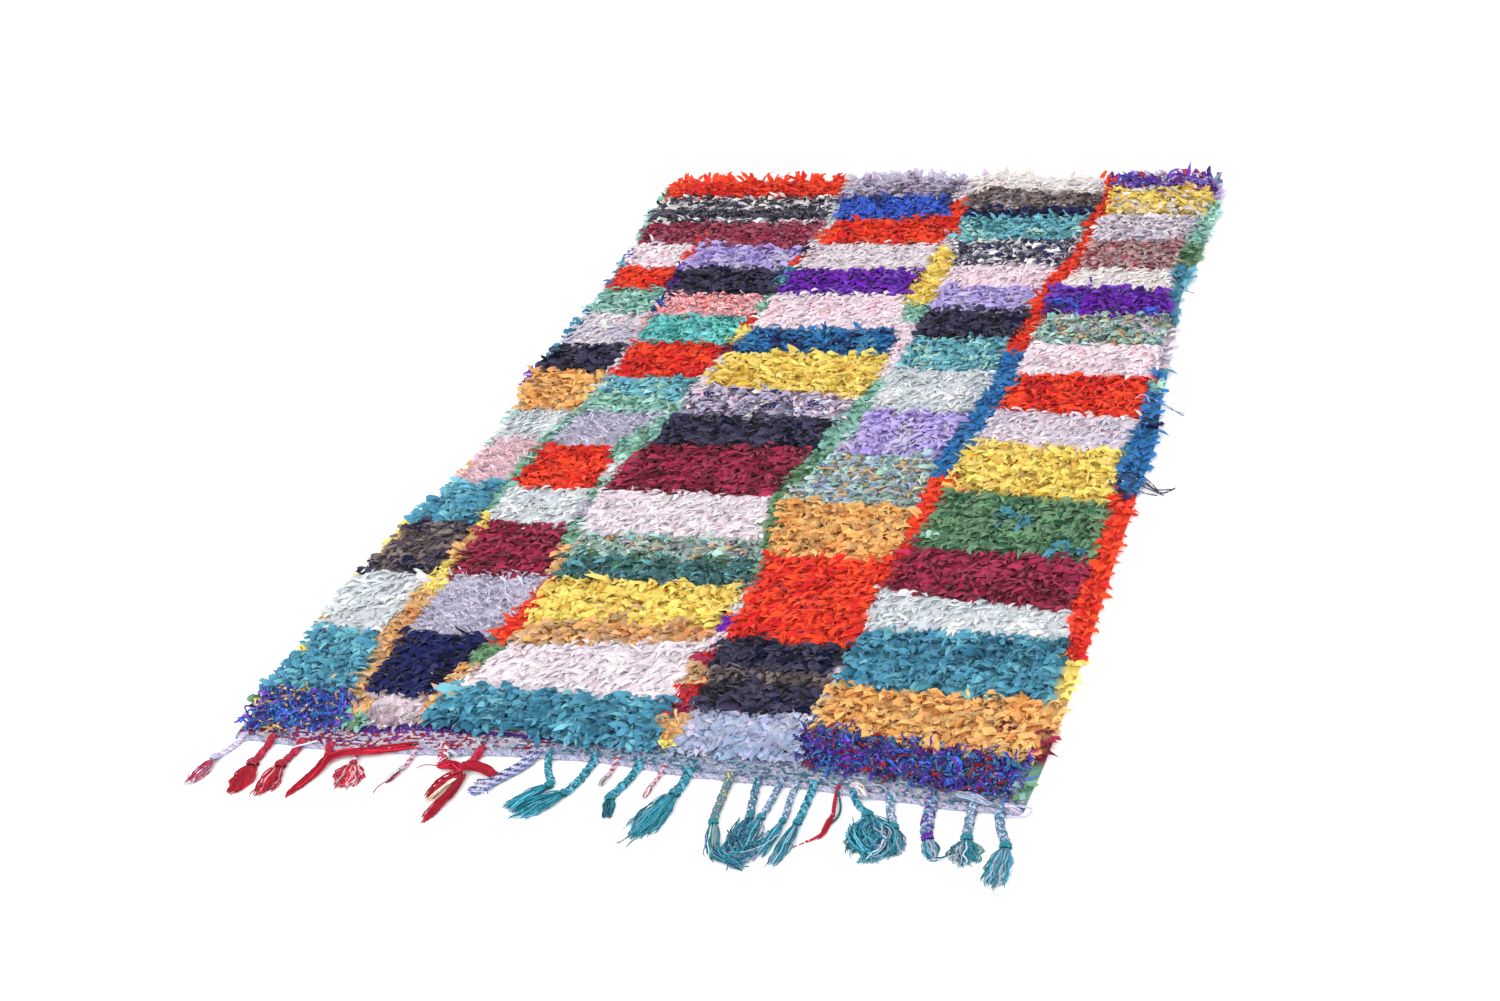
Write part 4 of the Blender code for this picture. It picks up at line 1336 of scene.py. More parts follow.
Tassel = namedtuple(
    "Tassel",
    "root knot_across knot_along tip_across tip_along width knot_width knot_length spread "
    "style stem tuft yarns",
)
Stem = namedtuple("Stem", "names fleck share")
TEAL_STEM = Stem(("yarn_teal", "teal", "yarn_deep_teal"), "pale_teal", 0.16)
GREY_STEM = Stem(("yarn_teal", "tweed", "dark_tweed"), "lavender", 0.24)
MARLED_STEM = Stem(("yarn_teal", "dark_tweed", "yarn_deep_teal"), "lavender", 0.24)
GOLD_STEM = Stem(("yarn_teal", "dark_tweed", "slate_teal"), "gold", 0.24)
RED_STEM = Stem(("crimson", "roving", "maroon"), "maroon", 0.20)
PINK_STEM = Stem(("ash_pink", "maroon"), "grey", 0.36)
LILAC_STEM = Stem(("grey_lavender", "lavender"), "maroon", 0.22)
PLUM_STEM = Stem(("deep_purple", "yarn_teal", "tweed", "crimson"), "yarn_grey", 0.30)
WHITE_RED_STEM = Stem(("crimson", "white_pink", "maroon"), "ash_pink", 0.30)
BRIGHT_RED_STEM = Stem(("roving", "crimson"), "maroon", 0.16)
TEAL_TUFT = ("yarn_teal", "yarn_teal", "yarn_deep_teal", "teal")
MIXED_TUFT = ("yarn_teal", "tweed", "yarn_teal", "yarn_deep_teal", "teal", "yarn_grey")
RED_TUFT = ("roving", "crimson")
PRINT_TUFT = ("crimson", "brown_pink", "roving", "crimson", "maroon", "brown_pink")
SLATE_TUFT = ("slate_teal", "yarn_teal", "deep_sage", "yarn_teal", "dark_tweed", "tweed")
SAGE_TUFT = ("yarn_teal", "tweed", "yarn_teal", "yarn_deep_teal", "yarn_teal", "grey_sage")
TASSELS = (
    Tassel(0.010, -0.014, -0.045, -0.034, -0.127, 0.013, 0.018, 0.014, 0.014,
           "twist", LILAC_STEM, ("grey_lavender", "lavender", "maroon", "crimson"), 26),
    Tassel(0.070, 0.068, -0.050, 0.067, -0.140, 0.014, 0.026, 0.016, 0.021, "plait", RED_STEM, RED_TUFT, 40),
    Tassel(0.134, 0.125, -0.048, 0.121, -0.138, 0.014, 0.024, 0.016, 0.018,
           "plait", RED_STEM, ("roving", "crimson", "roving", "crimson", "roving", "brown_pink"), 38),
    Tassel(0.195, 0.203, -0.020, 0.174, -0.131, 0.014, 0.018, 0.012, 0.008,
           "roving", RED_STEM, ("crimson", "crimson"), 30),
    Tassel(0.250, 0.262, -0.030, 0.270, -0.098, 0.010, 0.016, 0.010, 0.026,
           "twist", WHITE_RED_STEM, PRINT_TUFT, 70),
    Tassel(0.366, 0.364, -0.032, 0.345, -0.074, 0.010, 0.012, 0.010, 0.005,
           "twist", PINK_STEM, ("crimson", "lavender", "navy"), 10),
    Tassel(0.490, 0.478, -0.016, 0.465, -0.164, 0.014, 0.080, 0.026, 0.024, "bow", RED_STEM, RED_TUFT, 34),
    Tassel(0.594, 0.566, -0.022, 0.516, -0.084, 0.022, 0.028, 0.014, 0.011,
           "strap", LILAC_STEM, ("lavender", "grey_lavender", "dark_tweed"), 14),
    Tassel(0.622, 0.658, -0.042, 0.598, -0.115, 0.012, 0.018, 0.014, 0.015,
           "plait", TEAL_STEM, TEAL_TUFT, 56),
    Tassel(0.710, 0.692, -0.062, 0.622, -0.130, 0.014, 0.020, 0.010, 0.018,
           "plait", TEAL_STEM, TEAL_TUFT, 66),
    Tassel(0.752, 0.750, -0.006, 0.744, -0.036, 0.010, 0.011, 0.008, 0.004,
           "twist", PINK_STEM, ("brown_pink", "yarn_teal"), 9),
    Tassel(0.797, 0.774, -0.062, 0.788, -0.118, 0.015, 0.020, 0.014, 0.007,
           "plait", TEAL_STEM, TEAL_TUFT, 26),
    Tassel(0.844, 0.838, -0.020, 0.832, -0.056, 0.009, 0.010, 0.008, 0.004,
           "twist", PINK_STEM, ("maroon", "brown_pink"), 9),
    Tassel(0.893, 0.888, -0.034, 0.846, -0.162, 0.017, 0.024, 0.014, 0.024,
           "plait", TEAL_STEM, TEAL_TUFT, 70),
    Tassel(0.970, 0.976, -0.100, 1.003, -0.194, 0.015, 0.018, 0.014, 0.010,
           "plait", GOLD_STEM, SLATE_TUFT, 30),
    Tassel(1.022, 1.036, -0.080, 1.030, -0.192, 0.013, 0.016, 0.012, 0.020,
           "plait", MARLED_STEM, MIXED_TUFT, 36),
    Tassel(1.062, 1.056, -0.078, 1.048, -0.200, 0.012, 0.016, 0.012, 0.016,
           "plait", GREY_STEM, MIXED_TUFT, 32),
    Tassel(1.090, 1.096, -0.084, 1.076, -0.180, 0.011, 0.014, 0.010, 0.009,
           "plait", GREY_STEM, MIXED_TUFT, 22),
    Tassel(1.122, 1.122, -0.082, 1.108, -0.196, 0.013, 0.016, 0.014, 0.011,
           "plait", TEAL_STEM, MIXED_TUFT, 32),
    Tassel(1.166, 1.176, -0.060, 1.168, -0.116, 0.008, 0.008, 0.008, 0.003,
           "twist", BRIGHT_RED_STEM, ("crimson", "roving"), 9),
    Tassel(1.193, 1.232, -0.048, 1.270, -0.160, 0.011, 0.022, 0.012, 0.036,
           "plait", TEAL_STEM, TEAL_TUFT, 120),
    Tassel(1.262, 1.284, -0.074, 1.304, -0.146, 0.014, 0.018, 0.012, 0.018,
           "plait", GREY_STEM, MIXED_TUFT, 40),
    Tassel(1.333, 1.344, -0.092, 1.368, -0.146, 0.020, 0.022, 0.014, 0.011,
           "plait", PLUM_STEM, MIXED_TUFT, 32),
    Tassel(1.404, 1.410, -0.084, 1.420, -0.156, 0.015, 0.022, 0.014, 0.025,
           "plait", GREY_STEM, SAGE_TUFT, 60),
    Tassel(1.450, 1.478, -0.095, 1.474, -0.198, 0.015, 0.022, 0.014, 0.019,
           "plait", GREY_STEM, ("yarn_teal", "lavender", "yarn_teal", "teal", "tweed"), 60),
)
TASSEL_SPLIT = 13
STEM_HEIGHT = 0.0056
STEM_ON_BAND = 0.013
OVER_CORD = 0.0045
KNOT_SHARE = 0.40
KNOT_MIDDLE = 0.0072
YARN_RADIUS = 0.00120
ROVING_RADIUS = 0.0017
LOOSE_RADIUS = 0.0007
LOOSE_OUT = (0.35, 0.62)
LOOSE_TURNS = (1.5, 4.0)
LOOSE_RISE = 0.3
LOOSE_SHADES = (0.6, 1.3)
STEM_STEPS = 15
PLAIT_STEP = 0.0021
PLAIT_PITCH = 0.020
PLAIT_PITCH_RANGE = (0.85, 1.25)
PLAIT_SHIFT = 0.0005
PLAIT_GAP = 0.3
PLAIT_INSET = 0.75
PLAIT_RISE = 0.2
TWIST_STEP = 0.0019
TWIST_PITCH = 0.015
TWIST_FLATNESS = 0.7
TWIST_OUT = 0.24
TWIST_PLY = 0.27
BUNDLE_STEP = 0.004
BUNDLE_DRIFT = 1.2
BUNDLE_ENDS = 0.58
BUNDLE_ROUGH = 0.0004
BUNDLE_FLECKS = 0.10
BUNDLE_SWELL = 0.7
BUNDLE_START = 0.7
BUNDLE_FRAY = (-0.5, 2.5)
BUNDLE_RANGE = (0.85, 1.2)
RAGGED = 0.10
TANGLE_RAGGED = 0.42
SHADE_SPREAD = 0.30
WRAP_STEPS = 9
FLATTENED = 0.62
KNOT_BULGE = (0.82, 0.3)
KNOT_FLECKS = 0.1
HEAD_PAST_KNOT = 1.1
TUFT_STEPS = 9
TUFT_ARCH = 0.0024
TUFT_ENDS = (-0.03, 0.09)
TUFT_HEAD = 0.8
TUFT_SHIFT = 0.0007
TUFT_TIPS = 0.14
TUFT_BELLY = 0.28
TUFT_OPENING = 0.8
TUFT_BENDS = (1.0, 2.2)
TUFT_CRIMP = 0.1
TUFT_TOP = (0.55, 0.9)
TUFT_LOW = (0.0014, 0.0048)
TUFT_FALL = 1.2
TUFT_RANGE = (0.8, 1.25)
TUFT_SPREAD = 0.28
TUFT_FLECKS = 0.08
ROUNDING = 1.1
MOST_ROUNDING = 0.45
TIP_HEIGHT = 0.002
STRAP_PITCH = 0.0052
STRAP_SPREAD = 0.016
STRAP_OVERLAP = 1.35
STRAP_FLECKS = 0.3
STRAP_END_LIFT = 0.003
STRAP_CORDS = (
    ("grey_lavender", "dark_tweed"), ("lavender", "navy"), ("grey_lavender", "tweed"),
    ("grey_lavender", "deep_purple"), ("tweed", "dark_tweed"),
)
# The thick roving that lies across the fringe, and the parts of the bow: places with heights
ROVING_ROUTE = (
    (0.358, 0.026, 0.011), (0.322, 0.010, 0.013), (0.276, -0.002, 0.013), (0.232, -0.011, 0.012),
    (0.208, -0.030, 0.010), (0.203, -0.060, 0.008), (0.192, -0.090, 0.006), (0.175, -0.130, 0.004),
)
ROVING_WIDTH = 0.021
ROVING_HEIGHT = 0.011
BOW_STEM_WIDTH = 0.018
BOW_FLATNESS = 0.45
BOW_STEM = ((0.412, 0.044, 0.008), (0.426, 0.006, 0.010), (0.432, -0.020, 0.007))
Lobe = namedtuple("Lobe", "route width names yarns")
BOW_LOBES = (
    Lobe(((0.426, -0.022, 0.010), (0.450, -0.022, 0.013), (0.484, -0.027, 0.013)), 0.022, RED_TUFT, 26),
    Lobe(((0.470, -0.024, 0.013), (0.506, -0.020, 0.012), (0.546, -0.033, 0.006)), 0.022, RED_TUFT, 26),
    Lobe(((0.480, -0.034, 0.010), (0.456, -0.064, 0.009), (0.444, -0.104, 0.004)), 0.023, RED_TUFT, 28),
    Lobe(((0.482, -0.034, 0.009), (0.484, -0.080, 0.008), (0.472, -0.125, 0.006), (0.463, -0.164, 0.003)),
         0.019, RED_TUFT, 26),
    Lobe(((0.482, -0.060, 0.016), (0.466, -0.088, 0.015), (0.450, -0.112, 0.007)),
         0.007, ("cream", "tan"), 7),
)


def cord_middle(across):
    return cloth_edge(across) - CORD_GAP - CORD_WIDTH / 2


def build_cord():
    """The rope twined along the cloth's edge."""
    across = np.linspace(BAND_LEFT + CORD_INSET, BAND_RIGHT - CORD_INSET, CORD_STEPS)
    middle = place(across, cord_middle(across), CORD_HEIGHT)
    _, side, above = path_frame(middle[None])
    wide, high = CORD_FLATNESS
    grids = []
    for ply, name in enumerate(CORD_COLOURS):
        turn = (across / CORD_TWIST * 2 * np.pi + ply * 2 * np.pi / CORD_PLIES)[None, :, None]
        uneven = 1 + wavy(across, size=0.2, pitch=90, shift=ply)
        uneven = uneven + wavy(across, size=0.2, pitch=37, shift=2 * ply)
        swing = (side * np.cos(turn) * wide + above * np.sin(turn) * high) * CORD_SWING
        thick = CORD_PLY_RADIUS * (CORD_THICKNESS + wavy(across, size=0.14, pitch=61, shift=3 * ply))[None]
        line = middle[None] + swing * uneven[None, :, None]
        grids.append(tubes(line, thick, STEM_SIDES, linear(name), "dark_tweed", CORD_FLECKS, CORD_DEPTH))
    return grids


def stem_route(tassel):
    """The stem starts on the band, passes over the cord and bends towards its knot."""
    middle = cord_middle(tassel.root)
    start = place(tassel.root, middle + STEM_ON_BAND, 0.0)
    knot = place(tassel.knot_across, tassel.knot_along, 0.0)
    bend = np.array([start[0], (start[1] + knot[1]) / 2, 0.0])
    t = np.linspace(0, 1, STEM_STEPS)[:, None]
    route = start * (1 - t) ** 2 + bend * 2 * t * (1 - t) + knot * t ** 2
    past_cord = route[:, 1] - (middle - CLOTH_LENGTH / 2)
    route[:, 2] = STEM_HEIGHT + OVER_CORD * np.exp(-(past_cord / CORD_WIDTH) ** 2)
    return route


def plait(chance, route, width, stem, strands=3, height=STEM_HEIGHT):
    """Strands that swing from side to side and pass over and under each other."""
    line, side, above, at = steps_along(route, PLAIT_STEP)
    radius = width / (strands + PLAIT_GAP)
    grids = []
    phase = chance.uniform(0, 2 * np.pi, 3)
    pitch = PLAIT_PITCH * strands / 3 * chance.uniform(*PLAIT_PITCH_RANGE)
    uneven = wavy(at, size=0.9, pitch=160, shift=phase[0]) + wavy(at, size=0.5, pitch=370, shift=phase[1])
    thick = (1 + wavy(at, size=0.14, pitch=240, shift=phase[2]))[..., 0]
    for strand in range(strands):
        turn = at / pitch * 2 * np.pi + 2 * np.pi * strand / strands + uneven
        swing = side * np.sin(turn) * (width / 2 - radius * PLAIT_INSET)
        weave = above * np.sin(2 * turn) * height * PLAIT_RISE
        lean = side * chance.normal(0, PLAIT_SHIFT, at.shape)
        colour = linear(stem.names[strand % len(stem.names)])
        own = line + swing + weave + lean
        grids.append(tubes(own, radius * thick, STEM_SIDES, colour, stem.fleck, stem.share))
    grids.append(loose_along(chance, line, side, above, width, stem.names))
    return grids


def loose_along(chance, line, side, above, width, colours, count=6):
    """Thin yarns that have worked loose from a stem and lie along it."""
    t = np.linspace(0, 1, line.shape[1])[None, :, None]
    phase = chance.uniform(0, 2 * np.pi, (count, 2, 1, 1))
    wide = width * chance.uniform(*LOOSE_OUT, (count, 1, 1))
    turn = chance.uniform(*LOOSE_TURNS, (count, 1, 1)) * 2 * np.pi * t + phase[:, 0]
    lines = line + side * np.sin(turn) * wide + above * (np.cos(turn + phase[:, 1]) * width * LOOSE_RISE)
    shades = pick_colours(chance, colours, count) * chance.uniform(*LOOSE_SHADES, (count, 1))
    return tubes(lines[:, ::2], LOOSE_RADIUS, LOOSE_SIDES, shades)


def bundle(chance, route, width, height, names, count, radius, ragged=RAGGED):
    """Yarns side by side along a route, loosely packed and drawn together at both ends."""
    line, side, above, _ = steps_along(route, BUNDLE_STEP)
    steps = line.shape[1]
    t = np.linspace(0, 1, steps)[None, :, None]
    drift = chance.uniform(-BUNDLE_DRIFT, BUNDLE_DRIFT, (count, 1, 1))
    drift = drift * np.sin(np.pi * 2 * t + chance.uniform(0, 6, (count, 1, 1)))
    turn = chance.uniform(0, 2 * np.pi, (count, 1, 1)) + drift
    out = np.sqrt(chance.uniform(0, 1, (count, 1, 1)))
    swell = BUNDLE_ENDS + (1 - BUNDLE_ENDS) * np.sin(np.pi * t) ** BUNDLE_SWELL
    lines = line + (side * np.cos(turn) * width + above * np.sin(turn) * height) * out * swell / 2
    lines = lines + chance.normal(0, BUNDLE_ROUGH, lines.shape)
    begin = ragged * chance.uniform(0, 1, (count, 1))
    reach = 1 - begin - ragged * chance.uniform(0, 1, (count, 1))
    at = (begin + reach * t[..., 0]) * (steps - 1)
    low = np.clip(at.astype(int), 0, steps - 2)
    part = (at - low)[..., None]
    own = np.arange(count)[:, None]
    lines = lines[own, low] * (1 - part) + lines[own, low + 1] * part
    astray = chance.normal(0, 1, (count, 1, 1)) * ragged * width
    lines = lines + side * astray * (t ** 3 - BUNDLE_START * (1 - t) ** 3)
    ends = (lines[:, -1:] - lines[:, -2:-1]) * chance.uniform(*BUNDLE_FRAY, (count, 1, 1)) * t ** 8
    colours = pick_colours(chance, names, count) * np.exp(chance.normal(0, SHADE_SPREAD, (count, 1)))
    thick = radius * chance.uniform(*BUNDLE_RANGE, (count, 1))
    return tubes(lines + ends, thick, YARN_SIDES, colours, names[1], BUNDLE_FLECKS)


def twist(route, width, stem, pitch=TWIST_PITCH):
    """Two or more plies wound round each other."""
    line, side, above, at = steps_along(route, TWIST_STEP)
    grids = []
    for ply, name in enumerate(stem.names):
        turn = at / pitch * 2 * np.pi + 2 * np.pi * ply / len(stem.names)
        offset = (side * np.cos(turn) + above * np.sin(turn) * TWIST_FLATNESS) * width * TWIST_OUT
        colour = linear(name)
        grids.append(tubes(line + offset, width * TWIST_PLY, STEM_SIDES, colour, stem.fleck, stem.share))
    return grids


def wrap(middle, along, radius, length, colour, turns=4):
    """A knot: yarn wound several times round the stem's end."""
    t = np.linspace(0, 1, turns * WRAP_STEPS)
    side = np.array([-along[1], along[0], 0.0])
    turn = (t * turns * 2 * np.pi)[:, None]
    bulge = (radius * (KNOT_BULGE[0] + KNOT_BULGE[1] * np.sin(np.pi * t)))[:, None]
    up = np.array([0.0, 0.0, 1.0])
    line = middle + along * (t - 0.5)[:, None] * length
    line = line + side * np.cos(turn) * bulge + up * np.sin(turn) * bulge * FLATTENED
    thickness = length / turns * FLATTENED
    return tubes(line[None], thickness, THREAD_SIDES, linear(colour), "yarn_grey", KNOT_FLECKS)


def tuft(chance, head, tip, head_width, spread, names, count, curl=0.24, radius=YARN_RADIUS):
    """Yarns that fan out from a knot and come to rest on the floor."""
    reach = tip - head
    length = np.linalg.norm(reach[:2])
    along = reach / length
    side = np.array([-along[1], along[0], 0.0])
    t = np.linspace(0, 1, TUFT_STEPS)
    fan = chance.uniform(-1, 1, count)
    layer = chance.uniform(0, 1, count)
    rounding = min(ROUNDING * spread / length, MOST_ROUNDING)
    ends = 1 + chance.normal(*TUFT_ENDS, count) - rounding * fan ** 2
    start_side = fan * head_width / 2 * TUFT_HEAD + chance.normal(0, TUFT_SHIFT, count)
    end_side = fan * spread + chance.normal(0, spread * TUFT_TIPS, count)
    belly = np.sin(np.pi * t[None, :]) * fan[:, None] * spread * TUFT_BELLY
    sideways = start_side[:, None] * (1 - t) + end_side[:, None] * t ** TUFT_OPENING + belly
    phase = chance.uniform(0, 2 * np.pi, (count, 2))
    bends = chance.uniform(*TUFT_BENDS, (count, 1))
    sway = curl * spread * np.sin(bends * 2 * np.pi * t + phase[:, :1]) * t
    crimp = TUFT_CRIMP * curl * length * np.sin(bends * 4 * t + phase[:, 1:])
    forward = length * ends[:, None] * t + crimp
    top = head[2] * (TUFT_TOP[0] + TUFT_TOP[1] * layer)
    low = TUFT_LOW[0] + TUFT_LOW[1] * layer * (1 - np.abs(fan)) ** 0.5
    height = top[:, None] * (1 - t) ** TUFT_FALL + low[:, None] * (1 - (1 - t) ** TUFT_FALL)
    height = height + TUFT_ARCH * layer[:, None] * np.sin(np.pi * t)
    lines = head[:2] + along[:2] * forward[..., None] + side[:2] * (sideways + sway)[..., None]
    lines = np.concatenate((lines, height[..., None]), axis=-1)
    colours = pick_colours(chance, names, count) * np.exp(chance.normal(0, TUFT_SPREAD, (count, 1)))
    thick = radius * chance.uniform(*TUFT_RANGE, (count, 1))
    return tubes(lines, thick, YARN_SIDES, colours, names[0], TUFT_FLECKS)


def build_roving(chance, tassel):
    """A thick roving that lies across the fringe and down to the floor."""
    route = route_of(ROVING_ROUTE)
    return [bundle(chance, route, ROVING_WIDTH, ROVING_HEIGHT, tassel.tuft, tassel.yarns, ROVING_RADIUS)]


def build_bow(chance):
    """Two stems tied in a bow: its lobes of roving and a second stem."""
    grids = plait(chance, route_of(BOW_STEM), BOW_STEM_WIDTH, WHITE_RED_STEM, strands=4)
    for lobe in BOW_LOBES:
        height = lobe.width * BOW_FLATNESS
        route = route_of(lobe.route)
        grids.append(bundle(chance, route, lobe.width, height, lobe.names, lobe.yarns, ROVING_RADIUS))
    return grids


def build_strap(chance, tassel, route, tip):
    """Cords side by side with a frayed end."""
    line = np.vstack((route, [(route[-1] + tip) / 2, tip + [0, 0, STRAP_END_LIFT]]))
    _, side, _ = path_frame(line)
    grids = []
    for cord_number, colours in enumerate(STRAP_CORDS):
        offset = side * (cord_number - (len(STRAP_CORDS) - 1) / 2) * STRAP_PITCH
        stem = Stem(colours, "dark_tweed", STRAP_FLECKS)
        grids += twist(line + offset, STRAP_PITCH * STRAP_OVERLAP, stem, pitch=0.018)
    frayed = tuft(chance, line[-2], tip, tassel.knot_width, STRAP_SPREAD, tassel.tuft, tassel.yarns, curl=0.5)
    return grids + [frayed]


def build_tassel(chance, tassel):
    route = stem_route(tassel)
    knot = place(tassel.knot_across, tassel.knot_along, KNOT_MIDDLE)
    tip = place(tassel.tip_across, tassel.tip_along, TIP_HEIGHT)
    if tassel.style == "strap":
        return build_strap(chance, tassel, route, tip)
    toward = (tip - knot) * (1, 1, 0)
    along = toward / np.linalg.norm(toward)
    if tassel.style == "twist":
        grids = twist(route, tassel.width, tassel.stem)
    else:
        grids = plait(chance, route, tassel.width, tassel.stem)
    if tassel.style == "roving":
        return grids + build_roving(chance, tassel)
    if tassel.style == "bow":
        return grids + build_bow(chance)
    width, length = tassel.knot_width, tassel.knot_length
    wound = wrap(knot + along * length / 2, along, width * KNOT_SHARE, length, tassel.stem.names[0])
    head = knot + along * length * HEAD_PAST_KNOT
    thick = ROVING_RADIUS if "roving" in tassel.tuft else YARN_RADIUS
    yarns = tuft(chance, head, tip, width, tassel.spread, tassel.tuft, tassel.yarns, radius=thick)
    return grids + [wound, yarns]


# Stray yarns and threads: each one's colour, radius and route
THREAD_STEPS = 28
THREAD_FLECKS = 0.06
TANGLE_HEIGHT = 0.007
Thread = namedtuple("Thread", "name radius route")
THREADS = (
    Thread("roving", 0.0022, ((1.170, -0.108, 0.006), (1.160, -0.122, 0.004), (1.146, -0.132, 0.003))),
    Thread("yarn_deep_teal", 0.0022, ((1.166, 0.000, 0.012), (1.180, -0.030, 0.005),
                                      (1.184, -0.062, 0.004), (1.170, -0.092, 0.003))),
    Thread("crimson", 0.0012, ((1.166, -0.112, 0.005), (1.146, -0.133, 0.003), (1.116, -0.156, 0.002))),
    Thread("yarn_teal", 0.0012, ((1.345, -0.128, 0.006), (1.366, -0.150, 0.003), (1.392, -0.128, 0.004),
                                 (1.408, -0.100, 0.009))),
    Thread("yarn_deep_teal", 0.0012, ((1.350, -0.132, 0.006), (1.376, -0.140, 0.003),
                                      (1.400, -0.122, 0.006))),
    Thread("lavender", 0.0009, ((1.352, -0.126, 0.006), (1.372, -0.146, 0.003), (1.402, -0.132, 0.006))),
    Thread("yarn_teal", 0.0012, ((0.846, -0.150, 0.004), (0.834, -0.170, 0.002), (0.826, -0.176, 0.002))),
    Thread("crimson", 0.0010, ((0.345, -0.070, 0.003), (0.336, -0.086, 0.002), (0.334, -0.104, 0.0015))),
    Thread("crimson", 0.0010, ((0.386, -0.030, 0.004), (0.398, -0.018, 0.004), (0.426, -0.022, 0.008))),
    Thread("white_pink", 0.0014, ((0.116, -0.030, 0.013), (0.132, -0.012, 0.015), (0.152, 0.004, 0.013),
                                  (0.166, 0.016, 0.012))),
    Thread("tweed", 0.0017, ((1.198, 0.016, 0.008), (1.236, 0.022, 0.010), (1.252, 0.002, 0.010),
                             (1.228, -0.014, 0.008), (1.200, -0.004, 0.008))),
    Thread("grey_lavender", 0.0020, ((1.464, -0.002, 0.009), (1.500, -0.004, 0.009),
                                     (1.496, -0.024, 0.007), (1.462, -0.026, 0.006))),
    Thread("dark_tweed", 0.0013, ((1.490, 1.380, 0.020), (1.524, 1.362, 0.012), (1.548, 1.346, 0.006),
                                  (1.568, 1.332, 0.002))),
    Thread("grey_blue", 0.0011, ((1.500, 1.372, 0.018), (1.536, 1.350, 0.008), (1.570, 1.342, 0.002))),
    Thread("grey_lavender", 0.0010, ((1.462, 1.352, 0.030), (1.474, 1.364, 0.034), (1.488, 1.358, 0.032),
                                     (1.494, 1.344, 0.026))),
    Thread("charcoal", 0.0015, ((1.466, 1.050, 0.026), (1.500, 1.054, 0.016), (1.532, 1.040, 0.008),
                                (1.566, 1.016, 0.003), (1.592, 1.041, 0.002))),
    Thread("charcoal", 0.0013, ((1.468, 1.045, 0.026), (1.510, 1.036, 0.012), (1.544, 1.022, 0.006),
                                (1.573, 1.008, 0.002))),
    Thread("deep_navy", 0.0012, ((1.480, 1.060, 0.024), (1.516, 1.068, 0.012), (1.542, 1.046, 0.006),
                                 (1.562, 1.018, 0.002))),
    Thread("charcoal", 0.0013, ((1.470, 1.040, 0.024), (1.500, 1.028, 0.012), (1.530, 1.012, 0.005),
                                (1.560, 1.007, 0.002))),
    Thread("deep_navy", 0.0012, ((1.490, 1.055, 0.020), (1.522, 1.056, 0.010), (1.552, 1.028, 0.004),
                                 (1.586, 1.034, 0.002))),
    Thread("teal", 0.0014, ((1.480, 1.900, 0.020), (1.500, 1.906, 0.010), (1.512, 1.912, 0.003))),
)

# Yarns of several tassels caught up in each other: routes with their width, colours and count
TANGLES = (
    Lobe(((0.984, -0.140, 0.007), (1.010, -0.184, 0.008), (1.046, -0.196, 0.007), (1.080, -0.176, 0.006)),
         0.026, ("yarn_teal", "yarn_deep_teal", "tweed", "yarn_teal", "dark_tweed", "yarn_deep_teal"), 30),
    Lobe(((1.036, -0.090, 0.009), (1.030, -0.140, 0.008), (1.048, -0.190, 0.006), (1.070, -0.198, 0.004)),
         0.034, ("yarn_teal", "tweed", "navy", "yarn_teal", "yarn_deep_teal", "dark_tweed"), 28),
    Lobe(((1.094, -0.100, 0.008), (1.082, -0.140, 0.008), (1.052, -0.170, 0.007), (1.020, -0.186, 0.004)),
         0.024, ("yarn_teal", "tweed", "yarn_teal", "yarn_deep_teal"), 14),
    Lobe(((1.240, -0.060, 0.010), (1.236, -0.100, 0.012), (1.262, -0.136, 0.008), (1.300, -0.120, 0.005)),
         0.036, ("yarn_teal", "yarn_deep_teal", "yarn_teal", "yarn_deep_teal", "teal"), 22),
    Lobe(((1.256, -0.070, 0.012), (1.282, -0.100, 0.012), (1.276, -0.140, 0.007), (1.240, -0.136, 0.004)),
         0.034, ("yarn_teal", "yarn_deep_teal", "teal", "yarn_deep_teal", "tweed"), 20),
)


def build_threads(chance):
    grids = []
    for thread in THREADS:
        line = smooth_path(route_of(thread.route), THREAD_STEPS)[None]
        grids.append(tubes(line, thread.radius, THREAD_SIDES, linear(thread.name), "white", THREAD_FLECKS))
    for tangle in TANGLES:
        size = (tangle.width, TANGLE_HEIGHT)
        yarns = (tangle.names, tangle.yarns, YARN_RADIUS, TANGLE_RAGGED)
        grids.append(bundle(chance, route_of(tangle.route), *size, *yarns))
    return grids


# Short wads of roving that lie on the band and the cord
WAD_LEVEL = 0.0085
WAD_HEIGHT = 0.008
WAD_ARCH = 0.003
Wad = namedtuple("Wad", "across along reach_across reach_along width yarns names")
WADS = (
    Wad(1.186, 0.022, 0.030, -0.026, 0.019, 26, ("ash_pink", "white_pink", "grey_lavender", "tan")),
    Wad(1.368, 0.020, 0.062, -0.020, 0.018, 28, ("grey_blue", "tweed", "grey_lavender")),
    Wad(0.292, 0.012, 0.050, 0.003, 0.014, 12, ("tweed", "grey_lavender")),
    Wad(0.420, 0.020, 0.036, -0.010, 0.012, 10, ("tweed", "grey_lavender")),
    Wad(1.452, -0.002, 0.030, -0.012, 0.014, 12, ("grey_lavender", "grey")),
)


def build_wads(chance):
    grids = []
    for wad in WADS:
        start = place(wad.across, wad.along, WAD_LEVEL)
        end = place(wad.across + wad.reach_across, wad.along + wad.reach_along, WAD_LEVEL)
        route = np.array([start, (start + end) / 2 + [0, 0, WAD_ARCH], end])
        grids.append(bundle(chance, route, wad.width, WAD_HEIGHT, wad.names, wad.yarns, YARN_RADIUS))
    return grids


